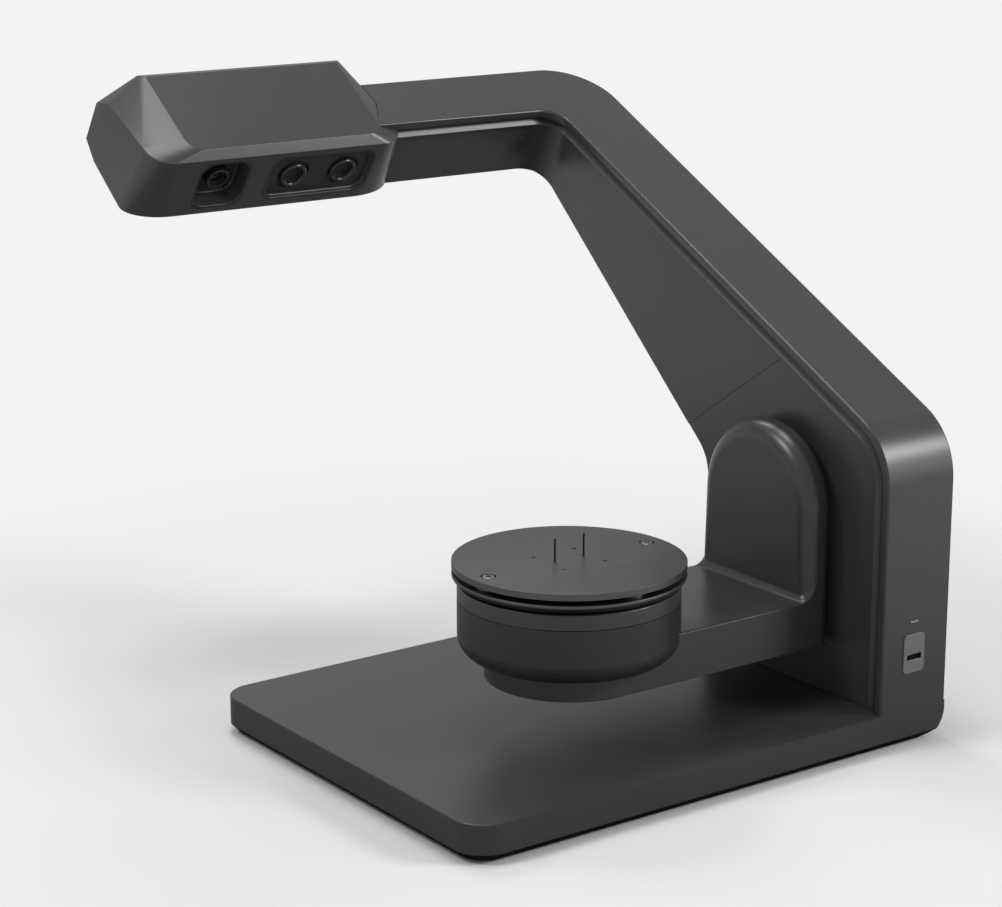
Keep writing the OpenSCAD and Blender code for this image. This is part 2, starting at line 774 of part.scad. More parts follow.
module head_board() {
    color("#1f5a3a") place() in_head() {
        translate([head_board_x - head_board_l / 2, spine_y + spine_t + head_board_gap, spine_low])
            cube([head_board_l, board_t, head_board_h]);
        for (side = [-1, 1])
            translate([head_board_x + side * (head_board_l / 2 - 2 * stand_r), spine_y + spine_t,
                spine_low + head_board_h / 2]) rotate([-90, 0, 0])
                cylinder(h = head_board_gap + run, r = stand_r);
    }
}
module head_screws() {
    color("#8f9193") place() in_head() for (x = head_screw_x)
        translate([x, head_seat, head_screw_z]) rotate([90, 0, 0]) {
            translate([0, 0, -head_screw_head_h]) cylinder(h = head_screw_head_h, r = head_screw_head_r);
            cylinder(h = head_seat - head_d + head_screw_l - over, r = head_screw_r);
        }
}

// Tilt drive, about an axis along X
module at_tilt(x) { translate([x, tilt_y, tilt_z]) rotate([0, 90, 0]) children(); }
bearing_r = 9.5;
bearing_t = 5;
block_w = 44;
block_l = 19.5;
block_x = frame_x + frame_t;
module bearing_block() {
    color("#9ca0a3") place() difference() {
        translate([block_x, tilt_y - block_w / 2, tilt_z - block_w / 2])
            cube([block_l, block_w, block_w]);
        at_tilt(block_x - over) cylinder(h = block_l + 2 * over, r = bearing_r - shell_wall);
        at_tilt(block_x - over) cylinder(h = bearing_t + over, r = bearing_r + run / 2);
        at_tilt(block_x + block_l - bearing_t)
            cylinder(h = bearing_t + over, r = bearing_r + run / 2);
    }
}
module tilt_bearings() {
    color("#c9cccf") place() for (x = [block_x, block_x + block_l - bearing_t]) at_tilt(x)
        bearing(bearing_t, bearing_r, shaft_r);
}
module bearing(t, r, bore) {
    difference() {
        cylinder(h = t, r = r);
        translate([0, 0, -over]) cylinder(h = t + 2 * over, r = bore + run);
    }
}
collar_r = 32;
module tilt_collar() {
    color("#262728") place() difference() {
        at_tilt(col_x) cylinder(h = recess, r = collar_r);
        at_tilt(col_x - over) cylinder(h = recess + 2 * over, r = bearing_r + fit);
    }
}
hub_x1 = col_x - hub_gap;
hub_x0 = hub_x1 - hub_t;
bush_t = 1.2;
gear_x = block_x + block_l + bush_t;
flange_r = 16;
module tilt_shaft() {
    color("#c4c7ca") place() {
        at_tilt(hub_x1 - 2 * bracket_wall) cylinder(h = bracket_wall, r = flange_r);
        at_tilt(hub_x1 - 2 * bracket_wall)
            cylinder(h = gear_x + gear_t - hub_x1 + 2 * bracket_wall, r = shaft_r);
    }
}
// Involute gear of n teeth and module m
pressure = 20;
backlash_share = 0.035;
function involute(a) = tan(a) * 180 / PI - a;
function tooth_half(n, m, r) = let (rb = m * n / 2 * cos(pressure))
    90 / n - 90 * backlash_share / n + involute(pressure) - involute(acos(min(1, rb / r)));
flank_shares = [0, 0.33, 0.67, 1];
addendum_share = 0.95;
dedendum_share = 1.2;
function tooth(n, m, k) = let (
    ro = m * (n / 2 + addendum_share), rr = m * (n / 2 - dedendum_share),
    rb = m * n / 2 * cos(pressure), r0 = max(rb, rr), a = 360 * k / n)
    concat(
        [rr * [cos(a - tooth_half(n, m, r0)), sin(a - tooth_half(n, m, r0))]],
        [for (f = flank_shares) let (r = r0 + (ro - r0) * f, h = tooth_half(n, m, r))
            r * [cos(a - h), sin(a - h)]],
        [for (f = reversed(flank_shares)) let (r = r0 + (ro - r0) * f, h = tooth_half(n, m, r))
            r * [cos(a + h), sin(a + h)]],
        [rr * [cos(a + tooth_half(n, m, r0)), sin(a + tooth_half(n, m, r0))]]);
module gear_plan(n, m) {
    polygon([for (k = [0 : n - 1]) each tooth(n, m, k)]);
}
module tilt_gear() {
    color("#d8d4c4") place() at_tilt(gear_x) difference() {
        linear_extrude(gear_t) gear_plan(gear_teeth, tilt_module);
        translate([0, 0, -over]) cylinder(h = gear_t + 2 * over, r = shaft_r + run / 2);
    }
}
tilt_centres = tilt_module * (gear_teeth + pinion_teeth) / 2;
spin_centres = spin_module * (gear_teeth + pinion_teeth) / 2;
motor_shaft_r = 2.5;
motor_gap = 0.3;
// Turned half a tooth, so that a gap faces the large gear
module pinion(m, shaft_l) {
    rotate(180 + 180 / pinion_teeth) linear_extrude(gear_t) gear_plan(pinion_teeth, m);
    translate([0, 0, -shaft_l]) cylinder(h = shaft_l + over, r = motor_shaft_r);
}
module tilt_pinion() {
    color("#d9b55c") place() translate([gear_x, tilt_y, tilt_z - tilt_centres])
        rotate([0, 90, 0]) pinion(tilt_module, gear_x - block_x - motor_h / 2);
}
module tilt_motor() {
    color("#2c2e30") place() difference() {
        translate([block_x, tilt_y - motor_w / 2, tilt_z - tilt_centres - motor_w / 2])
            cube([motor_h, motor_w, motor_w]);
        translate([block_x + motor_h / 2 - motor_gap, tilt_y, tilt_z - tilt_centres])
            rotate([0, 90, 0]) cylinder(h = motor_h, r = motor_shaft_r + run);
    }
}

// Swing bracket
leg_top = leg_z + leg_h;
module arch_side(i) {
    translate([tilt_y, tilt_z]) circle(arch_r - i);
    translate([tilt_y - arch_r + i, leg_z + i]) square([2 * (arch_r - i), tilt_z - leg_z - i]);
}
module leg_plan(i) {
    translate([table_x, tilt_y]) circle(arch_r - i);
    translate([table_x, tilt_y - arch_r + i]) square([hub_x1 - table_x - i, 2 * (arch_r - i)]);
}
module leg_solid() {
    translate([0, 0, leg_z]) linear_extrude(leg_h) leg_plan(0);
}
module leg_fillet() {
    translate([hub_x0 - fillet_r, tilt_y + arch_r, leg_top]) rotate([90, 0, 0])
        linear_extrude(2 * arch_r) difference() {
            translate([0, -over]) square([fillet_r + over, fillet_r + over]);
            translate([0, fillet_r]) circle(fillet_r);
            translate([-over, fillet_r]) square([fillet_r + over, over * 2]);
        }
}
module swing_bracket() {
    color("#464748") place() difference() {
        union() {
            along_x(hub_x0, hub_x1) arch_side(0);
            leg_solid();
            leg_fillet();
        }
        along_x(hub_x0 + bracket_wall, hub_x1 + over) arch_side(bracket_wall);
        translate([0, 0, leg_z - over]) linear_extrude(leg_h - bracket_wall + over)
            leg_plan(bracket_wall);
        translate([table_x, tilt_y, leg_z]) cylinder(h = leg_h + over, r = housing_r - bracket_wall);
        translate([spin_motor_x, tilt_y, leg_z]) cylinder(h = leg_h + over, r = boss_r + fit);
    }
}
hub_plate_t = bracket_wall;
module hub_plate() {
    color("#8f9295") place() difference() {
        along_x(hub_x1 - hub_plate_t, hub_x1) arch_side(bracket_wall + fit);
        at_tilt(hub_x1 - hub_plate_t - over)
            cylinder(h = hub_plate_t + 2 * over, r = shaft_r + run / 2);
    }
}
bottom_t = 2.5;
module bracket_bottom_cover() {
    color("#2c2d2e") place() translate([0, 0, leg_z]) linear_extrude(bottom_t) difference() {
        leg_plan(bracket_wall + fit);
        translate([hub_x1 - hub_plate_t - bracket_wall, 0]) square([far, far]);
    }
}

// Cup and turntable
cup_sink = 3;
cup_z0 = leg_top - cup_round - cup_sink;
ring_z0 = cup_z0 + cup_round + cup_h;
cup_foot_r = 45;
ring_top = ring_z0 + ring_h;
carrier_z = ring_top + spin_gap;
plate_z = carrier_z + carrier_t + gap_h;
module cup_shell() {
    color("#2e2e2e") place() difference() {
        translate([table_x, tilt_y, cup_z0]) rotate_extrude() difference() {
            union() {
                square([cup_foot_r, cup_round]);
                translate([cup_r - cup_round, cup_round]) circle(cup_round);
                translate([0, cup_round]) square([cup_r, cup_h]);
            }
            translate([-far, -far]) square([far, 2 * far]);
            translate([-over, bracket_wall]) square([cup_foot_r - bracket_wall + over, cup_round]);
            translate([cup_r - cup_round, cup_round]) circle(cup_round - bracket_wall);
            translate([-over, cup_round]) square([cup_r - bracket_wall + over, cup_h + over]);
        }
        leg_solid();
    }
}
ring_in_r = 46;
module cup_cover_ring() {
    color("#484848") place() translate([table_x, tilt_y, ring_z0]) difference() {
        cylinder(h = ring_h, r = cup_r);
        translate([0, 0, -over]) cylinder(h = ring_h - bracket_wall + over, r = cup_r - bracket_wall);
        translate([0, 0, -over]) cylinder(h = ring_h + 2 * over, r = ring_in_r);
    }
}
housing_r = 14;
race_r = 11;
race_t = 7;
housing_lift = 1;
housing_z = leg_z + bottom_t + housing_lift;
housing_h = leg_top - bracket_wall - housing_z;
module spindle_housing() {
    color("#9ca0a3") place() translate([table_x, tilt_y, housing_z]) difference() {
        cylinder(h = housing_h, r = housing_r);
        translate([0, 0, -over]) cylinder(h = housing_h + 2 * over, r = race_r - bracket_wall);
        translate([0, 0, -over]) cylinder(h = race_t + over, r = race_r + run / 2);
        translate([0, 0, housing_h - race_t]) cylinder(h = race_t + over, r = race_r + run / 2);
    }
}
module spindle_bearings() {
    color("#c9cccf") place() for (z = [housing_z, housing_z + housing_h - race_t])
        translate([table_x, tilt_y, z]) bearing(race_t, race_r, spindle_r);
}
spin_motor_x = table_x + spin_centres;
boss_r = 6;
spin_gear_lift = 2;
spin_gear_z = leg_top + spin_gear_lift;
module spin_motor() {
    color("#2c2e30") place() difference() {
        union() {
            translate([spin_motor_x - motor_w / 2, tilt_y - motor_w / 2,
                leg_top - bracket_wall - motor_h])
                cube([motor_w, motor_w, motor_h]);
            translate([spin_motor_x, tilt_y, leg_top - bracket_wall - over])
                cylinder(h = bracket_wall + over, r = boss_r);
        }
        translate([spin_motor_x, tilt_y, leg_top - motor_h / 2 - motor_gap])
            cylinder(h = motor_h, r = motor_shaft_r + run);
    }
}
module spin_pinion() {
    color("#d9b55c") place() translate([spin_motor_x, tilt_y, spin_gear_z])
        pinion(spin_module, spin_gear_z - leg_top + motor_h / 2);
}
module spindle() {
    color("#c4c7ca") place() translate([table_x, tilt_y, housing_z])
        cylinder(h = carrier_z + carrier_t - housing_z, r = spindle_r);
}
module spin_gear() {
    color("#d8d4c4") place() translate([table_x, tilt_y, spin_gear_z]) difference() {
        linear_extrude(gear_t) gear_plan(gear_teeth, spin_module);
        translate([0, 0, -over]) cylinder(h = gear_t + 2 * over, r = spindle_r + run / 2);
    }
}
carrier_bevel = 2.4;
sleeve_r = 11;
module table_carrier() {
    color("#4a4a4a") place() translate([table_x, tilt_y, carrier_z]) difference() {
        union() {
            rotate_extrude() polygon([[0, 0], [plate_r - carrier_bevel, 0],
                [plate_r, carrier_bevel], [plate_r, carrier_t], [0, carrier_t]]);
            translate([0, 0, spin_gear_z + gear_t - carrier_z])
                cylinder(h = carrier_z - spin_gear_z - gear_t + over, r = sleeve_r);
        }
        translate([0, 0, -far]) cylinder(h = 2 * far, r = spindle_r + run / 2);
        for (a = [0, 180]) rotate(a) translate([screw_ring_r, 0, -over])
            cylinder(h = carrier_t + 2 * over, r = plate_screw_r + run);
    }
}
spacer_r = 6;
spacers = 4;
module table_spacers() {
    color("#6a6b6c") place() translate([table_x, tilt_y, carrier_z + carrier_t])
        for (k = [0 : spacers - 1]) rotate(360 * k / spacers) translate([screw_ring_r, 0, 0])
            difference() {
                cylinder(h = gap_h, r = spacer_r);
                translate([0, 0, -over]) cylinder(h = gap_h + 2 * over, r = plate_screw_r + fit);
            }
}
plate_screw_r = 2;
plate_screw_head_r = 3.6;
plate_screw_sink = 1.8;
pin_shoulder = 0.4;
pin_foot_r = pin_r + pin_shoulder;
module table_plate() {
    color("#656565") place() translate([table_x, tilt_y, plate_z]) difference() {
        cylinder(h = plate_t, r = plate_r);
        for (k = [0 : 3]) rotate(45 + 90 * k) translate([hole_ring_r, 0, -over])
            cylinder(h = plate_t + 2 * over, r = hole_r);
        for (a = [0, 180]) rotate(a) {
            translate([screw_ring_r, 0, -over])
                cylinder(h = plate_t + 2 * over, r = plate_screw_r + fit);
            translate([screw_ring_r, 0, plate_t - plate_screw_sink])
                cylinder(h = plate_screw_sink + over, r = plate_screw_head_r + 2 * fit);
            translate([pin_ring_r, 0, -over]) cylinder(h = plate_t + 2 * over, r = pin_foot_r + run);
        }
    }
}
module table_screws() {
    color("#3a3b3c") place() translate([table_x, tilt_y, plate_z])
        for (a = [0, 180]) rotate(a) translate([screw_ring_r, 0, plate_t - plate_screw_sink]) {
            cylinder(h = plate_screw_sink - fit, r = plate_screw_head_r);
            translate([0, 0, -gap_h - carrier_t - plate_t + plate_screw_sink])
                cylinder(h = gap_h + carrier_t + plate_t - fit, r = plate_screw_r);
        }
}
module sample_pins() {
    color("#2a2a2a") place() translate([table_x, tilt_y, plate_z])
        for (a = [0, 180]) rotate(a) translate([pin_ring_r, 0, 0]) {
            cylinder(h = plate_t, r = pin_foot_r);
            cylinder(h = plate_t + pin_h, r = pin_r);
        }
}

// Power key, its switch and the status light
key_flange = 1.2;
key_lip = 1.4;
notch_w = 9.6;
notch_h = 2.7;
notch_z = 7.2;
notch_d = 1.2;
module power_key() {
    color("#6e6f70") place() difference() {
        union() {
            translate([key_x, -key_proud, key_z]) key_block(key_proud + band_t + run, 0);
            translate([key_x - key_lip, band_t + run, key_z - key_lip])
                key_block(key_flange, key_lip);
        }
        translate([key_x + (key_w - notch_w) / 2, -key_proud - over, key_z + notch_z])
            cube([notch_w, notch_d + over, notch_h]);
    }
}
switch_w = 12;
switch_t = 6;
switch_y = band_t + key_flange + key_travel + 2 * run;
module power_switch() {
    color("#151515") place()
        translate([key_x + (key_w - switch_w) / 2, switch_y, key_z + (key_h - switch_w) / 2])
            cube([switch_w, switch_t, switch_w]);
}
module switch_bracket() {
    color("#9ca0a3") place() translate([frame_x + frame_t, switch_y + switch_t, key_z]) {
        cube([key_x + key_w - frame_x - frame_t, bezel_t, light_z + light_h - key_z]);
        cube([bezel_t, frame_y0 + frame_edge - switch_y - switch_t, light_z + light_h - key_z]);
    }
}
module status_light() {
    color("#c9cdd0") place() translate([light_x, 0, light_z])
        cube([light_w, switch_y + switch_t, light_h]);
}
main_board_h = 26;
main_board_gap = 4;
main_board_z = base_h + main_board_gap;
main_board_x = base_w - shell_wall - main_board_gap - board_t;
main_board_l = 84;
main_board_back = 19;
main_board_y1 = col_d - main_board_back;
main_board_y0 = main_board_y1 - main_board_l;
module main_board() {
    color("#1f5a3a") place() translate([main_board_x, main_board_y0, main_board_z])
        cube([board_t, main_board_l, main_board_h]);
}
module board_standoffs() {
    color("#c9b26a") place()
        for (y = [main_board_y0 + 2 * stand_r, main_board_y1 - 2 * stand_r],
             z = [main_board_z + 2 * stand_r, main_board_z + main_board_h - 2 * stand_r])
            translate([main_board_x + board_t, y, z]) rotate([0, 90, 0])
                cylinder(h = main_board_gap, r = stand_r);
}
jack_r = 4.5;
jack_bore_r = 2.8;
jack_pin_r = 1;
jack_l = 12;
jack_dx = 7.5;
port_mid_x = port_x + port_w / 2;
port_mid_z = port_z + port_h / 2;
usb_w = 9.2;
usb_h = 3.4;
usb_wall = 0.6;
module port_panel() {
    color("#2a2b2c") place() difference() {
        translate([port_x + run, col_d - shell_wall, port_z + run])
            cube([port_w - 2 * run, shell_wall, port_h - 2 * run]);
        translate([port_mid_x - jack_dx, col_d + over, port_mid_z]) rotate([90, 0, 0])
            cylinder(h = shell_wall + 2 * over, r = jack_r + run);
        translate([port_mid_x + jack_dx - usb_w / 2 - usb_wall - run, col_d - shell_wall - over,
            port_mid_z - usb_h / 2 - usb_wall - run])
            cube([usb_w + 2 * usb_wall + 2 * run, shell_wall + 2 * over,
                usb_h + 2 * usb_wall + 2 * run]);
    }
}
module power_jack() {
    color("#1c1c1c") place() translate([port_mid_x - jack_dx, col_d, port_mid_z])
        rotate([90, 0, 0]) {
            difference() {
                cylinder(h = jack_l, r = jack_r);
                translate([0, 0, -over]) cylinder(h = jack_l - bezel_t + over, r = jack_bore_r);
            }
            cylinder(h = jack_l - bezel_t / 2, r = jack_pin_r);
        }
}
module data_socket() {
    color("#a9adb0") place()
        translate([port_mid_x + jack_dx - usb_w / 2 - usb_wall, col_d - jack_l,
            port_mid_z - usb_h / 2 - usb_wall]) difference() {
            cube([usb_w + 2 * usb_wall, jack_l, usb_h + 2 * usb_wall]);
            translate([usb_wall, bezel_t, usb_wall]) cube([usb_w, jack_l, usb_h]);
        }
}

base_pan();
base_cover();
ballast_plate();
rubber_feet();
base_screws();
column_frame();
column_shell();
column_inner_panel();
column_front_cover();
arm_shell();
arm_inner_panel();
arm_front_cover();
arm_beam();
head_front_shell();
head_back_cover();
head_bracket();
projector_bezel();
projector_barrel();
projector_lens();
projector_module();
camera_bezel();
camera_barrels();
camera_lenses();
camera_modules();
head_board();
head_screws();
bearing_block();
tilt_bearings();
tilt_collar();
tilt_motor();
tilt_pinion();
tilt_shaft();
tilt_gear();
hub_plate();
swing_bracket();
bracket_bottom_cover();
cup_shell();
cup_cover_ring();
spindle_housing();
spindle_bearings();
spin_motor();
spin_pinion();
spindle();
spin_gear();
table_carrier();
table_spacers();
table_plate();
table_screws();
sample_pins();
power_key();
power_switch();
switch_bracket();
status_light();
main_board();
board_standoffs();
port_panel();
power_jack();
data_socket();
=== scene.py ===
"""Looks of a desktop 3D scanner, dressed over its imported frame."""

import json
import logging
import math
from dataclasses import dataclass
from enum import Enum
from typing import Callable, Sequence

import bmesh
import bpy
from mathutils import Matrix, Vector


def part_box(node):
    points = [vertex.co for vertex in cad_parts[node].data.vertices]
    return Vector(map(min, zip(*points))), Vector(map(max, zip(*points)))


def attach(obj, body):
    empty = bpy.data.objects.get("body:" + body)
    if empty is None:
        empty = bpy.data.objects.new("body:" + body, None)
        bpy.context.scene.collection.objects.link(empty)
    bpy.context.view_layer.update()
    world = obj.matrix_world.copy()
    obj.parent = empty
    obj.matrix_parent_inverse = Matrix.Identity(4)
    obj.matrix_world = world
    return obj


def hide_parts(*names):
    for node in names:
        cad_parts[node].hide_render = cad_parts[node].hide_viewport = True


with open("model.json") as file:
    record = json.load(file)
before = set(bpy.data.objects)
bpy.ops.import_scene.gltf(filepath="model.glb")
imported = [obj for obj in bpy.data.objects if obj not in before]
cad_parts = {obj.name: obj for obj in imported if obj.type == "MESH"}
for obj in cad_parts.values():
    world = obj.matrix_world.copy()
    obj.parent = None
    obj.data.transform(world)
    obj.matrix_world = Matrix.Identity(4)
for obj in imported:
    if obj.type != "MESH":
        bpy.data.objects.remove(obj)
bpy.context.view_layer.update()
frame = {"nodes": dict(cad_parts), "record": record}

LOG = logging.getLogger("scanner")
MM = 0.001
BASE_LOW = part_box("base_cover")[0]
# Front left corner of the base on the floor: sizes below are in millimetres from it
CORNER = Vector((BASE_LOW[0], BASE_LOW[1], 0.0))
# Distances in metres under which points are merged: in turned pieces, and in copies and swept strips
TINY = 0.000001
WELD = 0.00001
# Distances in millimetres within which an edge counts as on a surface
NEAR = 0.05
CLOSE = 0.1
LOOSE = 0.5
# Share of a direction along an axis: above ALONG it runs along it, under ACROSS it lies across it
ALONG = 0.9
ACROSS = 0.1
# How many layers a noise has and how strongly the finer ones count
CLOUDY = {"Detail": 3.0, "Roughness": 0.6}
GRAINY = {"Detail": 2.0, "Roughness": 0.55}

Piece = bpy.types.Object
Triple = tuple[float, float, float]
Pair = tuple[float, float]
Colour = tuple[float, float, float, float]
Profile = Sequence[Pair]
Rule = Callable[[Vector, Vector], bool]
Radius = Callable[[Vector], float]


class Body(str, Enum):
    """The bodies that carry the dressed pieces."""

    BASE = "base"
    BRACKET = "bracket"
    TABLE = "table"
    KEY = "key"


def linear(hex_colour: str) -> Colour:
    """Turns an sRGB hex colour to linear light.

    Args:
        hex_colour: the colour, such as "#4a4b4c".

    Returns:
        Red, green and blue in linear light, and alpha 1.
    """
    channels = [int(hex_colour[i:i + 2], 16) / 255 for i in (1, 3, 5)]
    return (*[c / 12.92 if c <= 0.04045 else ((c + 0.055) / 1.055) ** 2.4 for c in channels], 1.0)


def shaded(colour: Colour, share: float) -> Colour:
    """Darkens or lightens a linear colour by a share."""
    return (*[c * share for c in colour[:3]], 1.0)


def add_node(tree: bpy.types.NodeTree, kind: str, inputs: dict | None = None, **settings) -> bpy.types.Node:
    """Adds one shader node with its settings and links.

    Args:
        tree: the node tree.
        kind: the node's type name.
        inputs: socket name or number to a value, or to the socket that feeds it.
        settings: the node's own options.

    Returns:
        The new node.
    """
    node = tree.nodes.new(kind)
    for name, value in settings.items():
        setattr(node, name, value)
    for socket, value in (inputs or {}).items():
        if isinstance(value, bpy.types.NodeSocket):
            tree.links.new(value, node.inputs[socket])
        else:
            node.inputs[socket].default_value = value
    return node


def new_material(name: str) -> tuple[bpy.types.Material, bpy.types.NodeTree]:
    """Makes an empty node material.

    Args:
        name: the material's name.

    Returns:
        The material and its node tree.
    """
    material = bpy.data.materials.new(name)
    material.use_nodes = True
    material.node_tree.nodes.clear()
    return material, material.node_tree


def close_tree(tree: bpy.types.NodeTree, shader: bpy.types.NodeSocket) -> None:
    """Feeds a shader into the tree's output."""
    add_node(tree, "ShaderNodeOutputMaterial", {"Surface": shader})


@dataclass(frozen=True)
class Moulded:
    """Injection-moulded plastic or rubber: a fine spark texture gives it a soft, broken gloss.

    Real spark texture is 0.1 to 0.3 mm wide. The grain is drawn coarser, so that it holds up in a picture
    of the whole object. The cloud stands for the slow change of gloss that a mould's flow leaves.
    """

    name: str
    colour: str
    roughness: float = 0.32
    grain_mm: float = 1.1
    grain_depth_mm: float = 0.012
    cloud_mm: float = 55.0
    cloud_share: float = 0.1
    specular: float = 0.5
    gloss_swing: float = 0.04

    def build(self) -> bpy.types.Material:
        """Builds the material.

        Returns:
            The material.
        """
        material, tree = new_material(self.name)
        place = add_node(tree, "ShaderNodeTexCoord").outputs["Object"]
        cloud = add_node(tree, "ShaderNodeTexNoise", {
            "Vector": place, "Scale": 1 / (self.cloud_mm * MM), **CLOUDY})
        colour = linear(self.colour)
        tint = add_node(tree, "ShaderNodeMix", {
            "Factor": cloud.outputs["Fac"], "A": shaded(colour, 1 - self.cloud_share),
            "B": shaded(colour, 1 + self.cloud_share)}, data_type="RGBA")
        gloss = add_node(tree, "ShaderNodeMapRange", {
            "Value": cloud.outputs["Fac"], "To Min": self.roughness - self.gloss_swing,
            "To Max": self.roughness + self.gloss_swing})
        grain = add_node(tree, "ShaderNodeTexNoise", {
            "Vector": place, "Scale": 1 / (self.grain_mm * MM), **GRAINY})
        bump = add_node(tree, "ShaderNodeBump", {
            "Height": grain.outputs["Fac"], "Strength": 1.0, "Distance": self.grain_depth_mm * MM})
        shader = add_node(tree, "ShaderNodeBsdfPrincipled", {
            "Base Color": tint.outputs[2], "Roughness": gloss.outputs["Result"],
            "Normal": bump.outputs["Normal"], "Specular IOR Level": self.specular})
        close_tree(tree, shader.outputs["BSDF"])
        return material


@dataclass(frozen=True)
class Metal:
    """Turned, drawn or rolled metal: fine lines along one way break up its gloss.

    Real tool and rolling lines are under 0.2 mm wide. They are drawn coarser to hold up in the picture.
    """

    name: str
    colour: str
    roughness: float = 0.35
    line_mm: float = 0.8
    stretch: Triple = (1.0, 1.0, 12.0)
    metallic: float = 1.0
    depth_mm: float = 0.008
    line_bump: float = 0.6
    line_shade: float = 0.86
    gloss_less: float = 0.06
    gloss_more: float = 0.08

    def build(self) -> bpy.types.Material:
        """Builds the material.

        Returns:
            The material.
        """
        material, tree = new_material(self.name)
        place = add_node(tree, "ShaderNodeTexCoord").outputs["Object"]
        drawn = add_node(tree, "ShaderNodeMapping", {"Vector": place, "Scale": self.stretch})
        lines = add_node(tree, "ShaderNodeTexNoise", {
            "Vector": drawn.outputs["Vector"], "Scale": 1 / (self.line_mm * MM) / max(self.stretch),
            **CLOUDY})
        colour = linear(self.colour)
        tint = add_node(tree, "ShaderNodeMix", {
            "Factor": lines.outputs["Fac"], "A": shaded(colour, self.line_shade), "B": colour},
            data_type="RGBA")
        gloss = add_node(tree, "ShaderNodeMapRange", {
            "Value": lines.outputs["Fac"], "To Min": self.roughness - self.gloss_less,
            "To Max": self.roughness + self.gloss_more})
        bump = add_node(tree, "ShaderNodeBump", {
            "Height": lines.outputs["Fac"], "Strength": self.line_bump, "Distance": self.depth_mm * MM})
        shader = add_node(tree, "ShaderNodeBsdfPrincipled", {
            "Base Color": tint.outputs[2], "Roughness": gloss.outputs["Result"],
            "Metallic": self.metallic, "Normal": bump.outputs["Normal"]})
        close_tree(tree, shader.outputs["BSDF"])
        return material


FINISHES = {
    # Housings: satin from a fine spark-eroded mould
    "abs_dark": Moulded("ABS_satin_dark_grey", "#303132"),
    # Pockets: a coarser mould face scatters more, so it looks duller
    "abs_black": Moulded("ABS_satin_black", "#1f2021", roughness=0.42),
    # Feet: pressed rubber with carbon black has almost no gloss
    "rubber": Moulded("nitrile_rubber", "#1a1a1a", roughness=0.75, grain_mm=0.8, specular=0.3),
    # Plates, shafts and screws inside: zinc plating is bright and slightly clouded
    "steel": Metal("zinc_plated_steel", "#a6a8aa", roughness=0.34),
    # Folded sheet: the mill's rolling leaves lines along the sheet
    "sheet_aluminium": Metal("mill_finish_aluminium", "#b4b7b9", roughness=0.42),
    # Barrels and rings: turned, then anodised black, so their rims carry a sharp light
    "barrel_black": Moulded("black_anodised_barrel", "#1b1c1d", roughness=0.26, grain_mm=0.7),
    # Lenses: polished glass with a dark blue coating
    "lens_glass": Moulded("coated_lens_glass", "#0a0e14", roughness=0.06, grain_depth_mm=0.0, specular=0.8),
    # Camera and projector modules: glass fibre in the nylon dulls the surface
    "module_black": Moulded("glass_filled_nylon_black", "#202224", roughness=0.55),
    # Boards: a smooth green solder mask
    "board": Moulded("fr4_board_green_mask", "#1f5a3a", roughness=0.3),
    # Motors: a dipped and baked coat, even and half glossy
    "motor_black": Moulded("black_e_coat", "#2c2e30", roughness=0.4),
    # Pinions: turned brass with rings from the tool
    "brass": Metal("turned_brass", "#d9b55c", roughness=0.3),
    # Gears: uncoloured acetal, milky and waxy
    "gear_plastic": Moulded("natural_acetal", "#d8d4c4", roughness=0.4),
    # Plate and carrier: turned and grey anodised, so the gloss is broad
    "anodised": Metal("anodised_aluminium_grey", "#656565", roughness=0.42),
    # Screws and pins: oiled black oxide on steel
    "black_screw": Metal("black_oxide_steel", "#2e2f30", roughness=0.4),
    # Key: a lighter plastic from a blasted mould
    "key_plastic": Moulded("key_ABS_grey", "#5b5c5d", roughness=0.45),
    # Light guide: moulded acrylic, frosted behind its face
    "light_guide": Moulded("clear_acrylic_light_guide", "#c9cdd0", roughness=0.25),
    # Floor pan: its own black plastic, drawn darker and without specular as painted shade for the shadow under
    # the base
    "floor_pan": Moulded("floor_pan_painted_shade", "#18181a", roughness=0.8, specular=0.0),
    # Recesses: near-black and nearly without gloss, painted shade for the dark inside of screw holes and the
    # key's notch
    "recess_black": Moulded("recess_painted_shade", "#070707", roughness=0.8, specular=0.1),
    # Status window: smoked acrylic, polished
    "smoked_window": Moulded("smoked_acrylic_window", "#141516", roughness=0.2),
    # Screws in the plate: turned stainless steel, left bright
    "screw_steel": Metal("turned_stainless_screw", "#8b8d90", roughness=0.38),
}


def alone(piece: Piece) -> None:
    """Selects one object alone and makes it active.

    Args:
        piece: the object.
    """
    bpy.ops.object.select_all(action="DESELECT")
    piece.select_set(True)
    bpy.context.view_layer.objects.active = piece


def open_piece(piece: Piece, kind: str = "FACE") -> None:
    """Opens a piece in edit mode with nothing selected.

    Args:
        piece: the piece.
        kind: FACE or EDGE, what will be picked.
    """
    alone(piece)
    bpy.ops.object.mode_set(mode="EDIT")
    bpy.ops.mesh.select_mode(type=kind)
    bpy.ops.mesh.select_all(action="DESELECT")


def close_piece() -> None:
    """Leaves edit mode."""
    bpy.ops.object.mode_set(mode="OBJECT")


def pick(piece: Piece, rule: Rule, kind: str = "FACE") -> None:
    """Selects faces or edges of an open piece by place, in local millimetres, and by direction.

    Args:
        piece: the piece in edit mode.
        rule: takes the middle and the normal of a face, or the middle and the run of an edge.
        kind: FACE or EDGE.
    """
    mesh = bmesh.from_edit_mesh(piece.data)
    bpy.ops.mesh.select_all(action="DESELECT")
    if kind == "FACE":
        for face in mesh.faces:
            face.select_set(rule(face.calc_center_median() / MM, face.normal))
    else:
        for edge in mesh.edges:
            start, end = (corner.co for corner in edge.verts)
            edge.select_set(rule((start + end) / 2 / MM, (end - start).normalized()))
    bmesh.update_edit_mesh(piece.data)


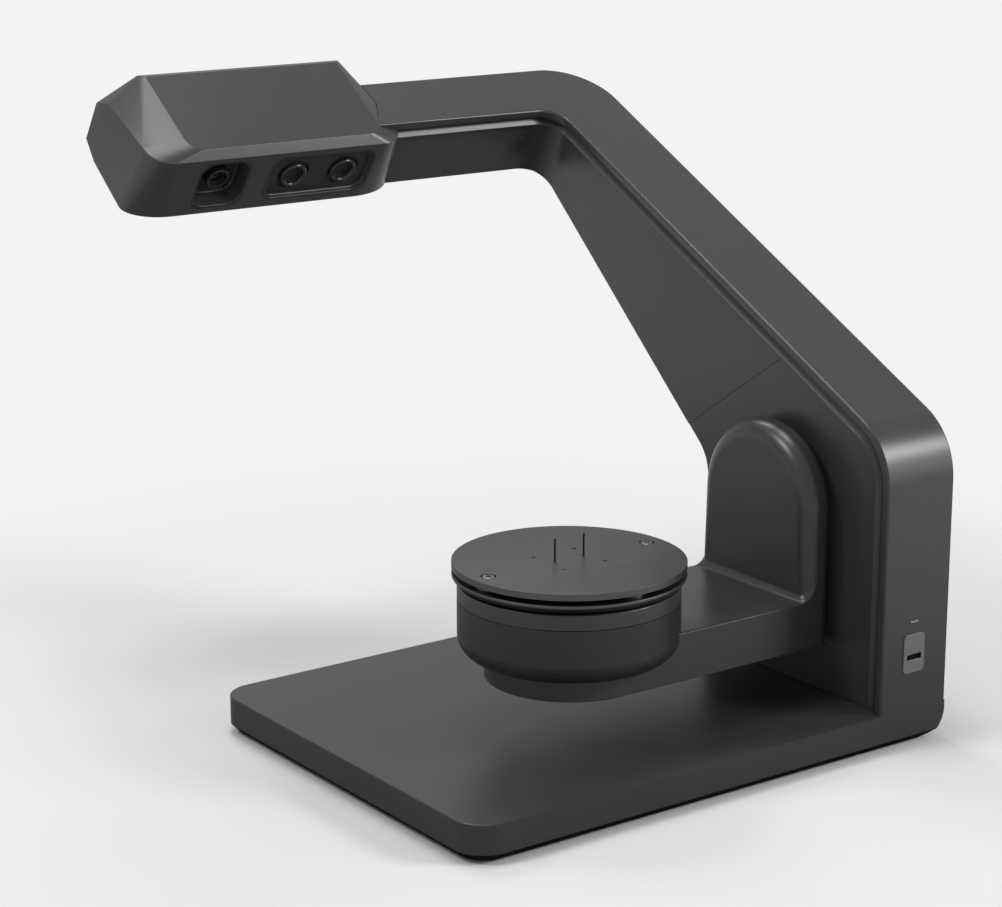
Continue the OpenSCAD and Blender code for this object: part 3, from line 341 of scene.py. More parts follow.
def placed(piece: Piece, place: Matrix) -> Piece:
    """Puts a piece at its place and moves that place into its mesh.

    Args:
        piece: the piece.
        place: where it goes.

    Returns:
        The same piece.
    """
    piece.matrix_world = place
    alone(piece)
    bpy.ops.object.transform_apply(location=True, rotation=True, scale=True)
    return piece


def shift(x: float, y: float, z: float) -> Matrix:
    """Moves by millimetres."""
    return Matrix.Translation(Vector((x, y, z)) * MM)


def from_corner(x: float, y: float, z: float) -> Matrix:
    """Gives a place in millimetres from the base's corner."""
    return Matrix.Translation(CORNER) @ shift(x, y, z)


def turned(name: str, profile: Profile, place: Matrix, vertices: int = 48, ring: bool = False) -> Piece:
    """Turns a round piece: a circle is extruded along its axis and resized from step to step.

    Args:
        name: the piece's name.
        profile: radius and height in millimetres, from the foot on.
        place: where its axis stands.
        vertices: points round it.
        ring: True for a hollow piece, whose profile ends where it starts.

    Returns:
        The piece.
    """
    bpy.ops.object.select_all(action="DESELECT")
    radius, foot = profile[0]
    height = foot
    bpy.ops.mesh.primitive_circle_add(
        vertices=vertices, radius=radius * MM, fill_type="NOTHING" if ring else "NGON")
    piece = bpy.context.object
    piece.name = name
    bpy.ops.object.mode_set(mode="EDIT")
    bpy.ops.mesh.select_all(action="SELECT")
    for next_radius, next_height in profile[1:]:
        rise = {"value": (0, 0, (next_height - height) * MM)}
        if ring:
            bpy.ops.mesh.extrude_edges_move(TRANSFORM_OT_translate=rise)
        else:
            bpy.ops.mesh.extrude_region_move(TRANSFORM_OT_translate=rise)
        share = next_radius / radius
        bpy.ops.transform.resize(value=(share, share, 1), center_override=(0, 0, 0))
        radius, height = next_radius, next_height
    bpy.ops.mesh.select_all(action="SELECT")
    bpy.ops.mesh.remove_doubles(threshold=TINY)
    bpy.ops.mesh.normals_make_consistent(inside=False)
    close_piece()
    return placed(piece, place @ shift(0, 0, foot))


def block(name: str, size: Triple, corner_mm: float, steps: int) -> Piece:
    """Makes a block round the origin with rounded upright edges.

    Args:
        name: the piece's name.
        size: its length, depth and height in millimetres.
        corner_mm: radius of the upright edges.
        steps: facets of each rounding.

    Returns:
        The block, not yet placed.
    """
    bpy.ops.object.select_all(action="DESELECT")
    bpy.ops.mesh.primitive_cube_add(size=MM)
    piece = bpy.context.object
    piece.name = name
    piece.scale = size
    alone(piece)
    bpy.ops.object.transform_apply(location=True, rotation=True, scale=True)
    open_piece(piece, "EDGE")
    pick(piece, lambda middle, run: abs(run.z) > ALONG, "EDGE")
    bpy.ops.mesh.bevel(offset=corner_mm * MM, segments=steps, affect="EDGES")
    close_piece()
    return piece


def round_edges(piece: Piece, rule: Rule, radius_mm: float, steps: int = 3) -> None:
    """Rounds the edges that a rule picks.

    Args:
        piece: the piece.
        rule: picks an edge by its middle and its run.
        radius_mm: the rounding's radius.
        steps: facets across it.
    """
    open_piece(piece, "EDGE")
    pick(piece, rule, "EDGE")
    bpy.ops.mesh.bevel(offset=radius_mm * MM, segments=steps, affect="EDGES")
    close_piece()


def cut(piece: Piece, cutter: Piece) -> None:
    """Cuts one solid out of a piece and clears the cutter away.

    Args:
        piece: the piece that is cut.
        cutter: the solid that is taken away.
    """
    alone(piece)
    taken = piece.modifiers.new("cut", "BOOLEAN")
    taken.operation = "DIFFERENCE"
    taken.solver = "EXACT"
    taken.object = cutter
    bpy.ops.object.modifier_apply(modifier=taken.name)
    bpy.data.objects.remove(cutter, do_unlink=True)


def smooth(piece: Piece, angle: float) -> None:
    """Shades round parts smooth and keeps flat faces flat.

    Args:
        piece: the piece.
        angle: greatest angle in degrees between faces that are shaded as one.
    """
    alone(piece)
    bpy.ops.object.shade_smooth_by_angle(angle=math.radians(angle))
    weighted = piece.modifiers.new("weighted", "WEIGHTED_NORMAL")
    weighted.keep_sharp = True
    bpy.ops.object.modifier_apply(modifier=weighted.name)


def first_only(number: int, node: str) -> tuple[str, ...]:
    """Gives the node's name for the first of several copies and nothing for the others."""
    return (node,) if number == 1 else ()


@dataclass(frozen=True)
class Softbox:
    """One softbox, given by its width and height in metres, that faces a point."""

    name: str
    place: Triple
    target: Triple
    size: Pair
    watts: float

    def hang(self) -> None:
        """Hangs the softbox."""
        data = bpy.data.lights.new(self.name, "AREA")
        data.shape = "RECTANGLE"
        data.size, data.size_y = self.size
        data.energy = self.watts
        lamp = bpy.data.objects.new(self.name, data)
        lamp.location = self.place
        aim = Vector(self.target) - Vector(self.place)
        lamp.rotation_euler = aim.to_track_quat("-Z", "Y").to_euler()
        bpy.context.scene.collection.objects.link(lamp)


@dataclass
class Studio:
    """Camera at the photograph's place, softboxes, pale floor and backdrop."""

    eye: Triple = (-0.65106, -0.9183908, 0.49325)
    aim: Triple = (0.5678, 0.7833, -0.2533)
    lens_mm: float = 95.13
    sensor_mm: float = 36.0
    sight_end: float = 50.0
    softboxes: Sequence[Softbox] = (
        Softbox("overhead_softbox", (-0.04, 0.06, 1.5), (0.0, 0.0, 0.1), (0.46, 0.46), 5.5),
        Softbox("front_right_softbox", (1.21, -1.35, 1.1), (0.1, -0.1, 0.15), (0.55, 0.45), 20.0),
        Softbox("low_front_softbox", (1.2, -1.5, 0.55), (0.1, -0.1, 0.15), (0.6, 0.8), 4.0),
        Softbox("left_softbox", (-1.15, 0.2, 1.45), (0.0, 0.1, 0.3), (0.5, 0.5), 11.0),
        Softbox("back_softbox", (0.2, 0.85, 1.3), (0.0, 0.0, 0.1), (0.45, 0.45), 5.0))
    pale: str = "#f3f3f3"
    world_level: float = 0.45
    gloss_level: float = 0.6
    ground_level: float = 0.95
    horizon: float = 0.06
    floor_radius: float = 4.0
    floor_points: int = 96
    floor_tones: tuple[str, str] = ("#d3d3d3", "#d9d9d9")
    floor_in_gloss: str = "#808080"
    floor_fade: Pair = (0.26, 0.62)
    floor_cloud: float = 3.0

    def camera(self) -> None:
        """Places the camera at the photograph's viewing angle."""
        data = bpy.data.cameras.new("camera")
        data.lens = self.lens_mm
        data.sensor_width = self.sensor_mm
        data.sensor_fit = "HORIZONTAL"
        data.clip_end = self.sight_end
        camera = bpy.data.objects.new("camera", data)
        camera.location = CORNER + Vector(self.eye)
        camera.rotation_euler = Vector(self.aim).to_track_quat("-Z", "Y").to_euler()
        bpy.context.scene.collection.objects.link(camera)
        bpy.context.scene.camera = camera

    def world(self) -> None:
        """Lights the object evenly and shows the pale backdrop to the camera, gloss and glass."""
        world = bpy.data.worlds.new("studio")
        world.use_nodes = True
        tree = world.node_tree
        tree.nodes.clear()
        path = add_node(tree, "ShaderNodeLightPath")
        way = add_node(tree, "ShaderNodeTexCoord").outputs["Generated"]
        height = add_node(tree, "ShaderNodeSeparateXYZ", {"Vector": way}).outputs["Z"]
        levels = {}
        for name, strength in (("soft", self.world_level), ("gloss", self.gloss_level)):
            # The pale floor goes on past the laid disc, so the world is lighter below the horizon
            level = add_node(tree, "ShaderNodeMapRange", {
                "Value": height, "From Min": -self.horizon, "From Max": self.horizon,
                "To Min": self.ground_level, "To Max": strength})
            levels[name] = add_node(tree, "ShaderNodeBackground", {
                "Color": linear(self.pale), "Strength": level.outputs["Result"]})
        levels["white"] = add_node(tree, "ShaderNodeBackground", {"Color": linear(self.pale), "Strength": 1.0})
        seen = add_node(tree, "ShaderNodeMath", {
            0: path.outputs["Is Camera Ray"], 1: path.outputs["Is Transmission Ray"]}, operation="MAXIMUM")
        glossy = add_node(tree, "ShaderNodeMixShader", {
            0: path.outputs["Is Glossy Ray"], 1: levels["soft"].outputs[0], 2: levels["gloss"].outputs[0]})
        mix = add_node(tree, "ShaderNodeMixShader", {
            0: seen.outputs[0], 1: glossy.outputs[0], 2: levels["white"].outputs[0]})
        add_node(tree, "ShaderNodeOutputWorld", {"Surface": mix.outputs[0]})
        bpy.context.scene.world = world

    def floor(self) -> None:
        """Lays a pale floor that fades into the backdrop and keeps the shadow."""
        bpy.ops.mesh.primitive_circle_add(
            vertices=self.floor_points, radius=self.floor_radius, fill_type="NGON", location=(0, 0, 0))
        floor = bpy.context.object
        floor.name = "floor"
        material, tree = new_material("pale_floor")
        place = add_node(tree, "ShaderNodeTexCoord").outputs["Object"]
        away = add_node(tree, "ShaderNodeVectorMath", {0: place}, operation="LENGTH")
        near, far = self.floor_fade
        fade = add_node(tree, "ShaderNodeMapRange", {
            "Value": away.outputs["Value"], "From Min": near, "From Max": far},
            interpolation_type="SMOOTHSTEP")
        cloud = add_node(tree, "ShaderNodeTexNoise", {"Vector": place, "Scale": self.floor_cloud})
        darker, lighter = self.floor_tones
        tone = add_node(tree, "ShaderNodeMix", {
            "Factor": cloud.outputs["Fac"], "A": linear(darker), "B": linear(lighter)}, data_type="RGBA")
        path = add_node(tree, "ShaderNodeLightPath")
        shown = add_node(tree, "ShaderNodeMix", {
            "Factor": path.outputs["Is Glossy Ray"], "A": tone.outputs[2], "B": linear(self.floor_in_gloss)},
            data_type="RGBA")
        matt = add_node(tree, "ShaderNodeBsdfDiffuse", {"Color": shown.outputs[2]})
        clear = add_node(tree, "ShaderNodeBsdfTransparent")
        mix = add_node(tree, "ShaderNodeMixShader", {
            0: fade.outputs["Result"], 1: matt.outputs[0], 2: clear.outputs[0]})
        close_tree(tree, mix.outputs[0])
        floor.data.materials.append(material)

    def build(self) -> None:
        """Sets the whole studio up."""
        bpy.context.scene.view_settings.view_transform = "Standard"
        self.camera()
        for softbox in self.softboxes:
            softbox.hang()
        self.world()
        self.floor()


class Workshop:
    """Materials by slot, and the steps that finish a piece."""

    flat_deg = 0.6
    hard_deg = 28.0

    def __init__(self, record: dict) -> None:
        """Builds the materials.

        Args:
            record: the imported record.
        """
        self.slot_of = {part["node"]: part["material_slot"] for part in record["subparts"]}
        self.body_of = {node: body for body, nodes in record["behaviour"]["bodies"].items() for node in nodes}
        self.materials = {name: finish.build() for name, finish in FINISHES.items()}

    def dress(self, piece: Piece, finish: str) -> None:
        """Gives a piece one finish."""
        piece.data.materials.clear()
        piece.data.materials.append(self.materials[finish])

    def settle(self, piece: Piece, body: Body, slot: str, *nodes: str, finish: str = "",
               crease: float = 32.0) -> None:
        """Shades and dresses a piece, rides it on its body, hides the nodes that it replaces and logs it.

        Args:
            piece: the piece.
            body: the body that it moves with.
            slot: the record's material slot.
            nodes: the nodes that it replaces.
            finish: a finish other than the slot's own.
            crease: least angle in degrees that stays a crease.
        """
        smooth(piece, crease)
        self.dress(piece, finish or slot)
        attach(piece, body.value)
        if nodes:
            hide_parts(*nodes)
        LOG.info("%s on %s", piece.name, body.value)

    def softened(self, node: str, radius_mm: float, plan: Radius | None = None, segments: int = 3,
                 finish: str = "") -> Piece:
        """Copies a node as one merged shell and rounds its hard edges, as a mould would.

        Args:
            node: the node's name.
            radius_mm: the largest radius.
            plan: gives the radius at an edge's middle, in millimetres from the base's corner.
            segments: facets across the rounding.
            finish: a finish other than the slot's own.

        Returns:
            The finished piece, which stands for the node.
        """
        source = frame["nodes"][node]
        piece = bpy.data.objects.new(f"{node}_soft", source.data.copy())
        bpy.context.scene.collection.objects.link(piece)
        open_piece(piece)
        bpy.ops.mesh.select_all(action="SELECT")
        bpy.ops.mesh.remove_doubles(threshold=WELD)
        bpy.ops.mesh.dissolve_limited(angle_limit=math.radians(self.flat_deg))
        close_piece()
        rounding = piece.modifiers.new("rounding", "BEVEL")
        rounding.width = radius_mm * MM
        rounding.segments = segments
        rounding.miter_outer = "MITER_ARC"
        rounding.use_clamp_overlap = plan is None
        if plan:
            self.weigh(piece, radius_mm, plan)
            rounding.limit_method = "WEIGHT"
        else:
            rounding.limit_method = "ANGLE"
            rounding.angle_limit = math.radians(self.hard_deg)
        bpy.ops.object.modifier_apply(modifier=rounding.name)
        self.settle(piece, Body(self.body_of[node]), self.slot_of[node], node, finish=finish)
        return piece

    def weigh(self, piece: Piece, radius_mm: float, plan: Radius) -> None:
        """Writes each hard edge's share of the rounding.

        Args:
            piece: the merged copy.
            radius_mm: the largest radius.
            plan: gives the radius at an edge's middle.
        """
        mesh = bmesh.new()
        mesh.from_mesh(piece.data)
        share = mesh.edges.layers.float.new("bevel_weight_edge")
        for edge in mesh.edges:
            if edge.is_manifold and edge.calc_face_angle() > math.radians(self.hard_deg):
                middle = (edge.verts[0].co + edge.verts[1].co) / 2
                edge[share] = plan((middle - CORNER) / MM) / radius_mm
        mesh.to_mesh(piece.data)
        mesh.free()

    def dress_frame(self) -> None:
        """Gives each carried-over node the material of its slot."""
        for name, node in frame["nodes"].items():
            self.dress(node, self.slot_of[name])


@dataclass
class BaseHousing:
    """Shallow cover over a dark floor pan, on four feet."""

    top: float = 20.3
    cover_radius: float = 0.6
    pan_radius: float = 1.0
    foot_places: Sequence[Pair] = ((27.0, 27.0), (273.0, 27.0), (27.0, 206.0), (273.0, 206.0))
    foot_profile: Profile = (
        (7.4, 0.3), (8.2, 0.0), (8.7, 0.05), (9.0, 0.4), (9.0, 1.2), (7.6, 1.2))

    def cover_rim(self, middle: Vector) -> float:
        """Gives the rounding of one edge of the cover: its top edges, apart from the front one.

        Args:
            middle: the edge's middle, in millimetres from CORNER.

        Returns:
            The radius in millimetres, 0 for no rounding.
        """
        on_top = abs(middle.z - self.top) < NEAR
        return self.cover_radius if on_top and middle.y > LOOSE else 0.0

    def build(self, shop: Workshop) -> None:
        """Builds the cover, the pan and the feet.

        Args:
            shop: the workshop.
        """
        shop.softened("base_cover", self.cover_radius, self.cover_rim)
        # The pan takes the darker floor-pan finish in place of its own: painted shade for the shadow under the
        # base
        shop.softened("base_pan", self.pan_radius, finish="floor_pan")
        for number, (x, y) in enumerate(self.foot_places, 1):
            foot = turned(f"rubber_foot_{number}", self.foot_profile, from_corner(x, y, 0))
            shop.settle(foot, Body.BASE, "rubber", *first_only(number, "rubber_feet"))


@dataclass
class Column:
    """Column and leaning arm: front band, side walls and the trim between them."""

    inner_x: float = 254.0
    outer_x: float = 300.0
    band_depth: float = 4.0
    band_radius: float = 1.2
    shell_radius: float = 1.0
    panel_radius: float = 0.5
    # Edges this deep and this far in from the sides and the corner belong to no outer rim
    skin: float = 0.3
    side_margin: float = 1.5
    corner_margin: float = 5.0
    # The strip's section as width and depth, cut along a slope that turns its face to the front right
    trim_low: Pair = (254.4, 6.8)
    trim_high: Pair = (258.0, 10.2)
    trim_start: Pair = (257.9, 6.8)
    trim_slope: Triple = (0.645, 0.765, 0.0)
    trim_crease_deg: float = 25.0
    bend_steps: int = 18
    corner_steps: int = 16
    base_top: float = 20.3
    bend_low: float = 138.71
    bend_radius: float = 38.0
    hinge_up: float = 162.0
    lean_deg: float = 27.0
    corner_s: float = 296.8
    corner_x: float = 241.0
    arm_end: float = 134.4

    @property
    def lean(self) -> float:
        """Gives the lean above level in radians."""
        return math.radians(self.lean_deg)

    @property
    def tangent(self) -> float:
        """Gives the length from the hinge line to the bend's end."""
        return self.bend_radius * math.tan(math.radians(90 - self.lean_deg) / 2)

    def depth(self, middle: Vector) -> float:
        """Gives how deep a point lies under the housing's outer front surface.

        Args:
            middle: the point, in millimetres from the base's corner.

        Returns:
            The depth in millimetres.
        """
        if middle.z <= self.bend_low:
            return middle.y
        if self.run(middle) < self.tangent:
            return self.bend_radius - math.hypot(middle.y - self.bend_radius, middle.z - self.bend_low)
        return middle.y * math.sin(self.lean) - (middle.z - self.hinge_up) * math.cos(self.lean)

    def run(self, middle: Vector) -> float:
        """Gives how far along the lean a point lies."""
        return middle.y * math.cos(self.lean) + (middle.z - self.hinge_up) * math.sin(self.lean)

    def band_rim(self, middle: Vector) -> float:
        """Gives the rounding of one edge of the front band: its outer rim only.

        Args:
            middle: the edge's middle, in millimetres from CORNER.

        Returns:
            The radius in millimetres, 0 for no rounding.
        """
        between = self.inner_x + self.side_margin < middle.x < self.outer_x - self.side_margin
        across = between and self.run(middle) < self.corner_s - self.corner_margin
        at_head = middle.x < self.arm_end + LOOSE
        return 0.0 if self.depth(middle) > self.skin or across or at_head else self.band_radius

    def shell_rim(self, middle: Vector) -> float:
        """Gives the rounding of one edge of a side shell: its outer back rim only.

        Args:
            middle: the edge's middle, in millimetres from CORNER.

        Returns:
            The radius in millimetres, 0 for no rounding.
        """
        behind = self.depth(middle) > self.band_depth + LOOSE
        return self.shell_radius if behind and abs(middle.x - self.outer_x) < NEAR else 0.0

    def build(self, shop: Workshop) -> None:
        """Builds the housing's shells and the trim.

        Args:
            shop: the workshop.
        """
        for node in ("column_front_cover", "arm_front_cover"):
            shop.softened(node, self.band_radius, self.band_rim)
        for node in ("column_shell", "arm_shell"):
            shop.softened(node, self.shell_radius, self.shell_rim)
        for node in ("column_inner_panel", "arm_inner_panel"):
            shop.softened(node, self.panel_radius, finish="abs_dark")
        shop.settle(self.trim(), Body.BASE, "abs_dark", crease=self.trim_crease_deg)

    def trim(self) -> Piece:
        """Extrudes and spins the sloping strip between the band's lip and the inner wall.

        Returns:
            The strip.
        """
        along = Vector((0, math.cos(self.lean), math.sin(self.lean)))
        out = Vector((0, -math.sin(self.lean), math.cos(self.lean)))
        (low_x, low_d), (high_x, high_d) = self.trim_low, self.trim_high
        bpy.ops.object.select_all(action="DESELECT")
        bpy.ops.mesh.primitive_plane_add(size=MM)
        trim = bpy.context.object
        trim.name = "inner_trim"
        width, depth = high_x - low_x, high_d - low_d
        middle = from_corner(low_x + width / 2, low_d + depth / 2, self.base_top)
        placed(trim, middle @ Matrix.Diagonal((width, depth, 1, 1)))
        open_piece(trim)
        bpy.ops.mesh.select_all(action="SELECT")
        start = CORNER + Vector((*self.trim_start, self.base_top)) * MM
        bpy.ops.mesh.bisect(plane_co=start, plane_no=self.trim_slope, clear_inner=True)
        bpy.ops.mesh.select_all(action="SELECT")
        rise = (self.bend_low - self.base_top) * MM
        bpy.ops.mesh.extrude_region_move(TRANSFORM_OT_translate={"value": (0, 0, rise)})
        pivot = CORNER + Vector((0, self.bend_radius, self.bend_low)) * MM
        turn = math.radians(90 - self.lean_deg)
        bpy.ops.mesh.spin(steps=self.bend_steps, angle=turn, center=pivot, axis=(1, 0, 0))
        run = along * (self.corner_s - self.tangent) * MM
        bpy.ops.mesh.extrude_region_move(TRANSFORM_OT_translate={"value": run})
        elbow = CORNER + (Vector((self.corner_x, 0, self.hinge_up)) + along * self.corner_s) * MM
        bpy.ops.mesh.spin(steps=self.corner_steps, angle=math.radians(-90), center=elbow, axis=out)
        reach = (self.arm_end - self.corner_x) * MM
        bpy.ops.mesh.extrude_region_move(TRANSFORM_OT_translate={"value": (reach, 0, 0)})
        bpy.ops.mesh.select_all(action="SELECT")
        bpy.ops.mesh.remove_doubles(threshold=WELD)
        bpy.ops.mesh.normals_make_consistent(inside=False)
        close_piece()
        return trim


@dataclass
class ScanHead:
    """Faceted head with a deep projector pocket and two cameras in a shallow recess."""

    tilt_deg: float = 35.5
    pivot: Pair = (280.0, 280.0)
    lens_up: float = -2.0
    shell_radius: float = 0.35
    top_up: float = 20.6
    front_top: float = 16.2
    fold_deg: float = 27.0
    projector_x: float = 37.995
    pocket: Triple = (31.3, 31.9, 10.6)
    outer_corner: float = 7.0
    pocket_corner: float = 9.0
    pocket_depth: float = 9.0
    pocket_rim: float = 0.7
    cameras_x: float = 98.4
    camera_x: Pair = (82.85, 113.95)
    recess: Triple = (65.9, 29.9, 4.1)
    recess_depth: float = 2.5
    recess_rim: float = 0.8
    moat_radius: float = 9.6
    moat_depth: float = 1.0
    screw_places: Sequence[Pair] = ((-9.6, -10.2), (9.6, -10.2), (-9.6, 10.2), (9.6, 10.2))
    barrel_profile: Profile = (
        (7.0, -16.0), (7.0, -8.4), (6.9, -5.0), (6.5, -4.3), (5.9, -4.0), (5.2, -4.2), (4.8, -5.0),
        (4.6, -7.0), (4.1, -7.2), (4.0, -9.4), (3.4, -9.6), (3.3, -16.0), (7.0, -16.0))
    projector_lens: Profile = (
        (4.4, -10.4), (4.4, -8.6), (3.9, -7.9), (3.0, -7.4), (2.0, -7.1), (0.9, -6.95), (0.3, -6.9))
    camera_profile: Profile = (
        (8.0, -16.0), (8.0, -2.4), (7.8, -1.4), (7.4, -0.8), (6.8, -0.45), (6.2, -0.4), (5.7, -0.7),
        (5.3, -1.4), (5.1, -2.6), (4.6, -2.8), (4.3, -4.2), (3.8, -4.4), (3.7, -5.6), (3.2, -5.8),
        (3.1, -16.0), (8.0, -16.0))
    camera_lens: Profile = (
        (4.2, -6.6), (4.2, -5.2), (3.6, -4.6), (2.7, -4.2), (1.7, -3.95), (0.8, -3.85), (0.3, -3.8))
    pocket_screw: Profile = ((1.5, -0.6), (1.5, 0.25), (1.3, 0.45), (0.75, 0.5), (0.7, -0.3), (0.3, -0.35))
    outer_steps: int = 8
    inner_steps: int = 10
    cutter_over: float = 2.0
    level_mm: float = 0.01
    mouth_round: float = 0.5
    floor_round: float = 1.0
    pocket_draft: float = 0.84
    recess_draft: float = 0.96
    moat_draft: float = 0.6
    moat_rise: float = 0.4
    moat_top: float = 1.0
    lens_crease_deg: float = 60.0
    screw_points: int = 24

    def face(self, x: float, up: float = 0.0) -> Matrix:
        """Gives a place on the lens face, with its axis pointing out of the face."""
        head = from_corner(0, *self.pivot) @ Matrix.Rotation(math.radians(self.tilt_deg), 4, "X")
        return head @ shift(x, 0, self.lens_up + up) @ Matrix.Rotation(math.radians(90), 4, "X")

    def build(self, shop: Workshop) -> None:
        """Builds the shells, the pocket and the optics.

        Args:
            shop: the workshop.
        """
        for node in ("head_front_shell", "head_back_cover"):
            self.facet(shop.softened(node, self.shell_radius, self.shell_rim))
        self.build_projector(shop)
        self.build_cameras(shop)

    def socket_block(self, name: str, size: Triple, rim: float, depth: float, draft: float,
                     corner: float) -> Piece:
        """Makes a rounded block with a drafted pocket sunk in its front.

        Args:
            name: the piece's name.
            size: its length, height and depth in millimetres.
            rim: width of the rim round the pocket.
            depth: depth of the pocket.
            draft: share of the mouth that the pocket's floor keeps.
            corner: radius of the pocket's corners.

        Returns:
            The block, with its front at height 0.
        """
        piece = placed(block(name, size, self.outer_corner, self.outer_steps), shift(0, 0, -size[2] / 2))
        half = (size[0] / 2 - rim, size[1] / 2 - rim)
        over = self.cutter_over
        cutter = block("cutter", (2 * half[0], 2 * half[1], depth + over), corner, self.inner_steps)
        placed(cutter, shift(0, 0, (over - depth) / 2))
        open_piece(cutter)
        pick(cutter, lambda middle, normal: normal.z < -ALONG)
        bpy.ops.transform.resize(value=(draft, draft, 1))
        close_piece()
        cut(piece, cutter)
        # The cutter narrows from its top on, so the mouth is a little smaller than the cutter's top
        keep = 1 - (1 - draft) * over / (depth + over)

        def on_mouth(middle: Vector, run: Vector) -> bool:
            """Tells whether an edge lies on the pocket's mouth.

            Args:
                middle: the edge's middle.
                run: the edge's direction.

            Returns:
                True for an edge on the mouth.
            """
            inner = (keep * half[0] - corner, keep * half[1] - corner)
            off = (max(abs(middle.x) - inner[0], 0), max(abs(middle.y) - inner[1], 0))
            level = abs(middle.z) < self.level_mm and abs(run.z) < ACROSS
            return level and math.hypot(*off) < corner + CLOSE

        def on_floor(middle: Vector, run: Vector) -> bool:
            """Tells whether an edge lies on the pocket's floor."""
            return abs(middle.z + depth) < self.level_mm and abs(run.z) < ACROSS

        round_edges(piece, on_mouth, self.mouth_round, 3)
        round_edges(piece, on_floor, self.floor_round, 3)
        return piece

    def local(self, middle: Vector) -> Vector:
        """Turns a point in millimetres from the base's corner to the head's own length, depth and height."""
        turn = Matrix.Rotation(math.radians(-self.tilt_deg), 3, "X")
        return turn @ (middle - Vector((0, *self.pivot)))

    def shell_rim(self, middle: Vector) -> float:
        """Gives the rounding of one edge of the shells: the front and top facets' edges only.

        Args:
            middle: the edge's middle, in millimetres from CORNER.

        Returns:
            The radius in millimetres, 0 for no rounding.
        """
        place = self.local(middle)
        on_front = place.y < NEAR and abs(place.z - self.front_top) < CLOSE
        on_top = place.z > self.top_up - NEAR and place.y < self.front_top
        return self.shell_radius if on_front or on_top else 0.0

    def facet(self, shell: Piece) -> None:
        """Keeps the top facet's edges crisp and blends the shallow folds.

        Args:
            shell: one of the head's softened shells.
        """
        alone(shell)
        bpy.ops.mesh.customdata_custom_splitnormals_clear()
        open_piece(shell, "EDGE")

        def on_top(middle: Vector, run: Vector) -> bool:
            """Tells whether an edge lies on the top facet."""
            return self.local(middle - CORNER / MM).z > self.top_up - NEAR

        pick(shell, on_top, "EDGE")
        bpy.ops.mesh.mark_sharp()
        close_piece()
        smooth(shell, self.fold_deg)

    def build_projector(self, shop: Workshop) -> None:
        """Builds the pocket with its screws, the barrel and the lens.

        Args:
            shop: the workshop.
        """
        bezel = self.socket_block("projector_pocket", self.pocket, self.pocket_rim, self.pocket_depth,
                                  self.pocket_draft, self.pocket_corner)
        placed(bezel, self.face(self.projector_x))
        shop.settle(bezel, Body.BASE, "abs_black", "projector_bezel")
        barrel = turned("projector_tube", self.barrel_profile, self.face(self.projector_x), ring=True)
        shop.settle(barrel, Body.BASE, "barrel_black", "projector_barrel")
        lens = turned("projector_front_lens", self.projector_lens, self.face(self.projector_x))
        shop.settle(lens, Body.BASE, "lens_glass", "projector_lens", crease=self.lens_crease_deg)
        for number, (x, up) in enumerate(self.screw_places, 1):
            place = self.face(self.projector_x + x, up) @ shift(0, 0, -self.pocket_depth)
            screw = turned(f"pocket_screw_{number}", self.pocket_screw, place, self.screw_points)
            # The pocket screws take the near-black recess finish in place of their own: painted shade for the
            # dark screw holes
            shop.settle(screw, Body.BASE, "black_screw", finish="recess_black")

    def build_cameras(self, shop: Workshop) -> None:
        """Builds the recess with a moat round each camera, the rings and the lenses.

        Args:
            shop: the workshop.
        """
        bezel = self.socket_block("camera_recess", self.recess, self.recess_rim, self.recess_depth,
                                  self.recess_draft, self.outer_corner)
        for x in self.camera_x:
            moat = ((self.moat_radius - self.moat_draft, -self.recess_depth - self.moat_depth),
                    (self.moat_radius, -self.recess_depth + self.moat_rise), (self.moat_radius, self.moat_top))
            cut(bezel, turned("moat", moat, shift(x - self.cameras_x, 0, 0)))
        placed(bezel, self.face(self.cameras_x))
        shop.settle(bezel, Body.BASE, "abs_black", "camera_bezel")
        for number, x in enumerate(self.camera_x, 1):
            ring = turned(f"camera_ring_{number}", self.camera_profile, self.face(x), ring=True)
            shop.settle(ring, Body.BASE, "barrel_black", *first_only(number, "camera_barrels"))
            lens = turned(f"camera_lens_{number}", self.camera_lens, self.face(x))
            shop.settle(lens, Body.BASE, "lens_glass", *first_only(number, "camera_lenses"),
                        crease=self.lens_crease_deg)


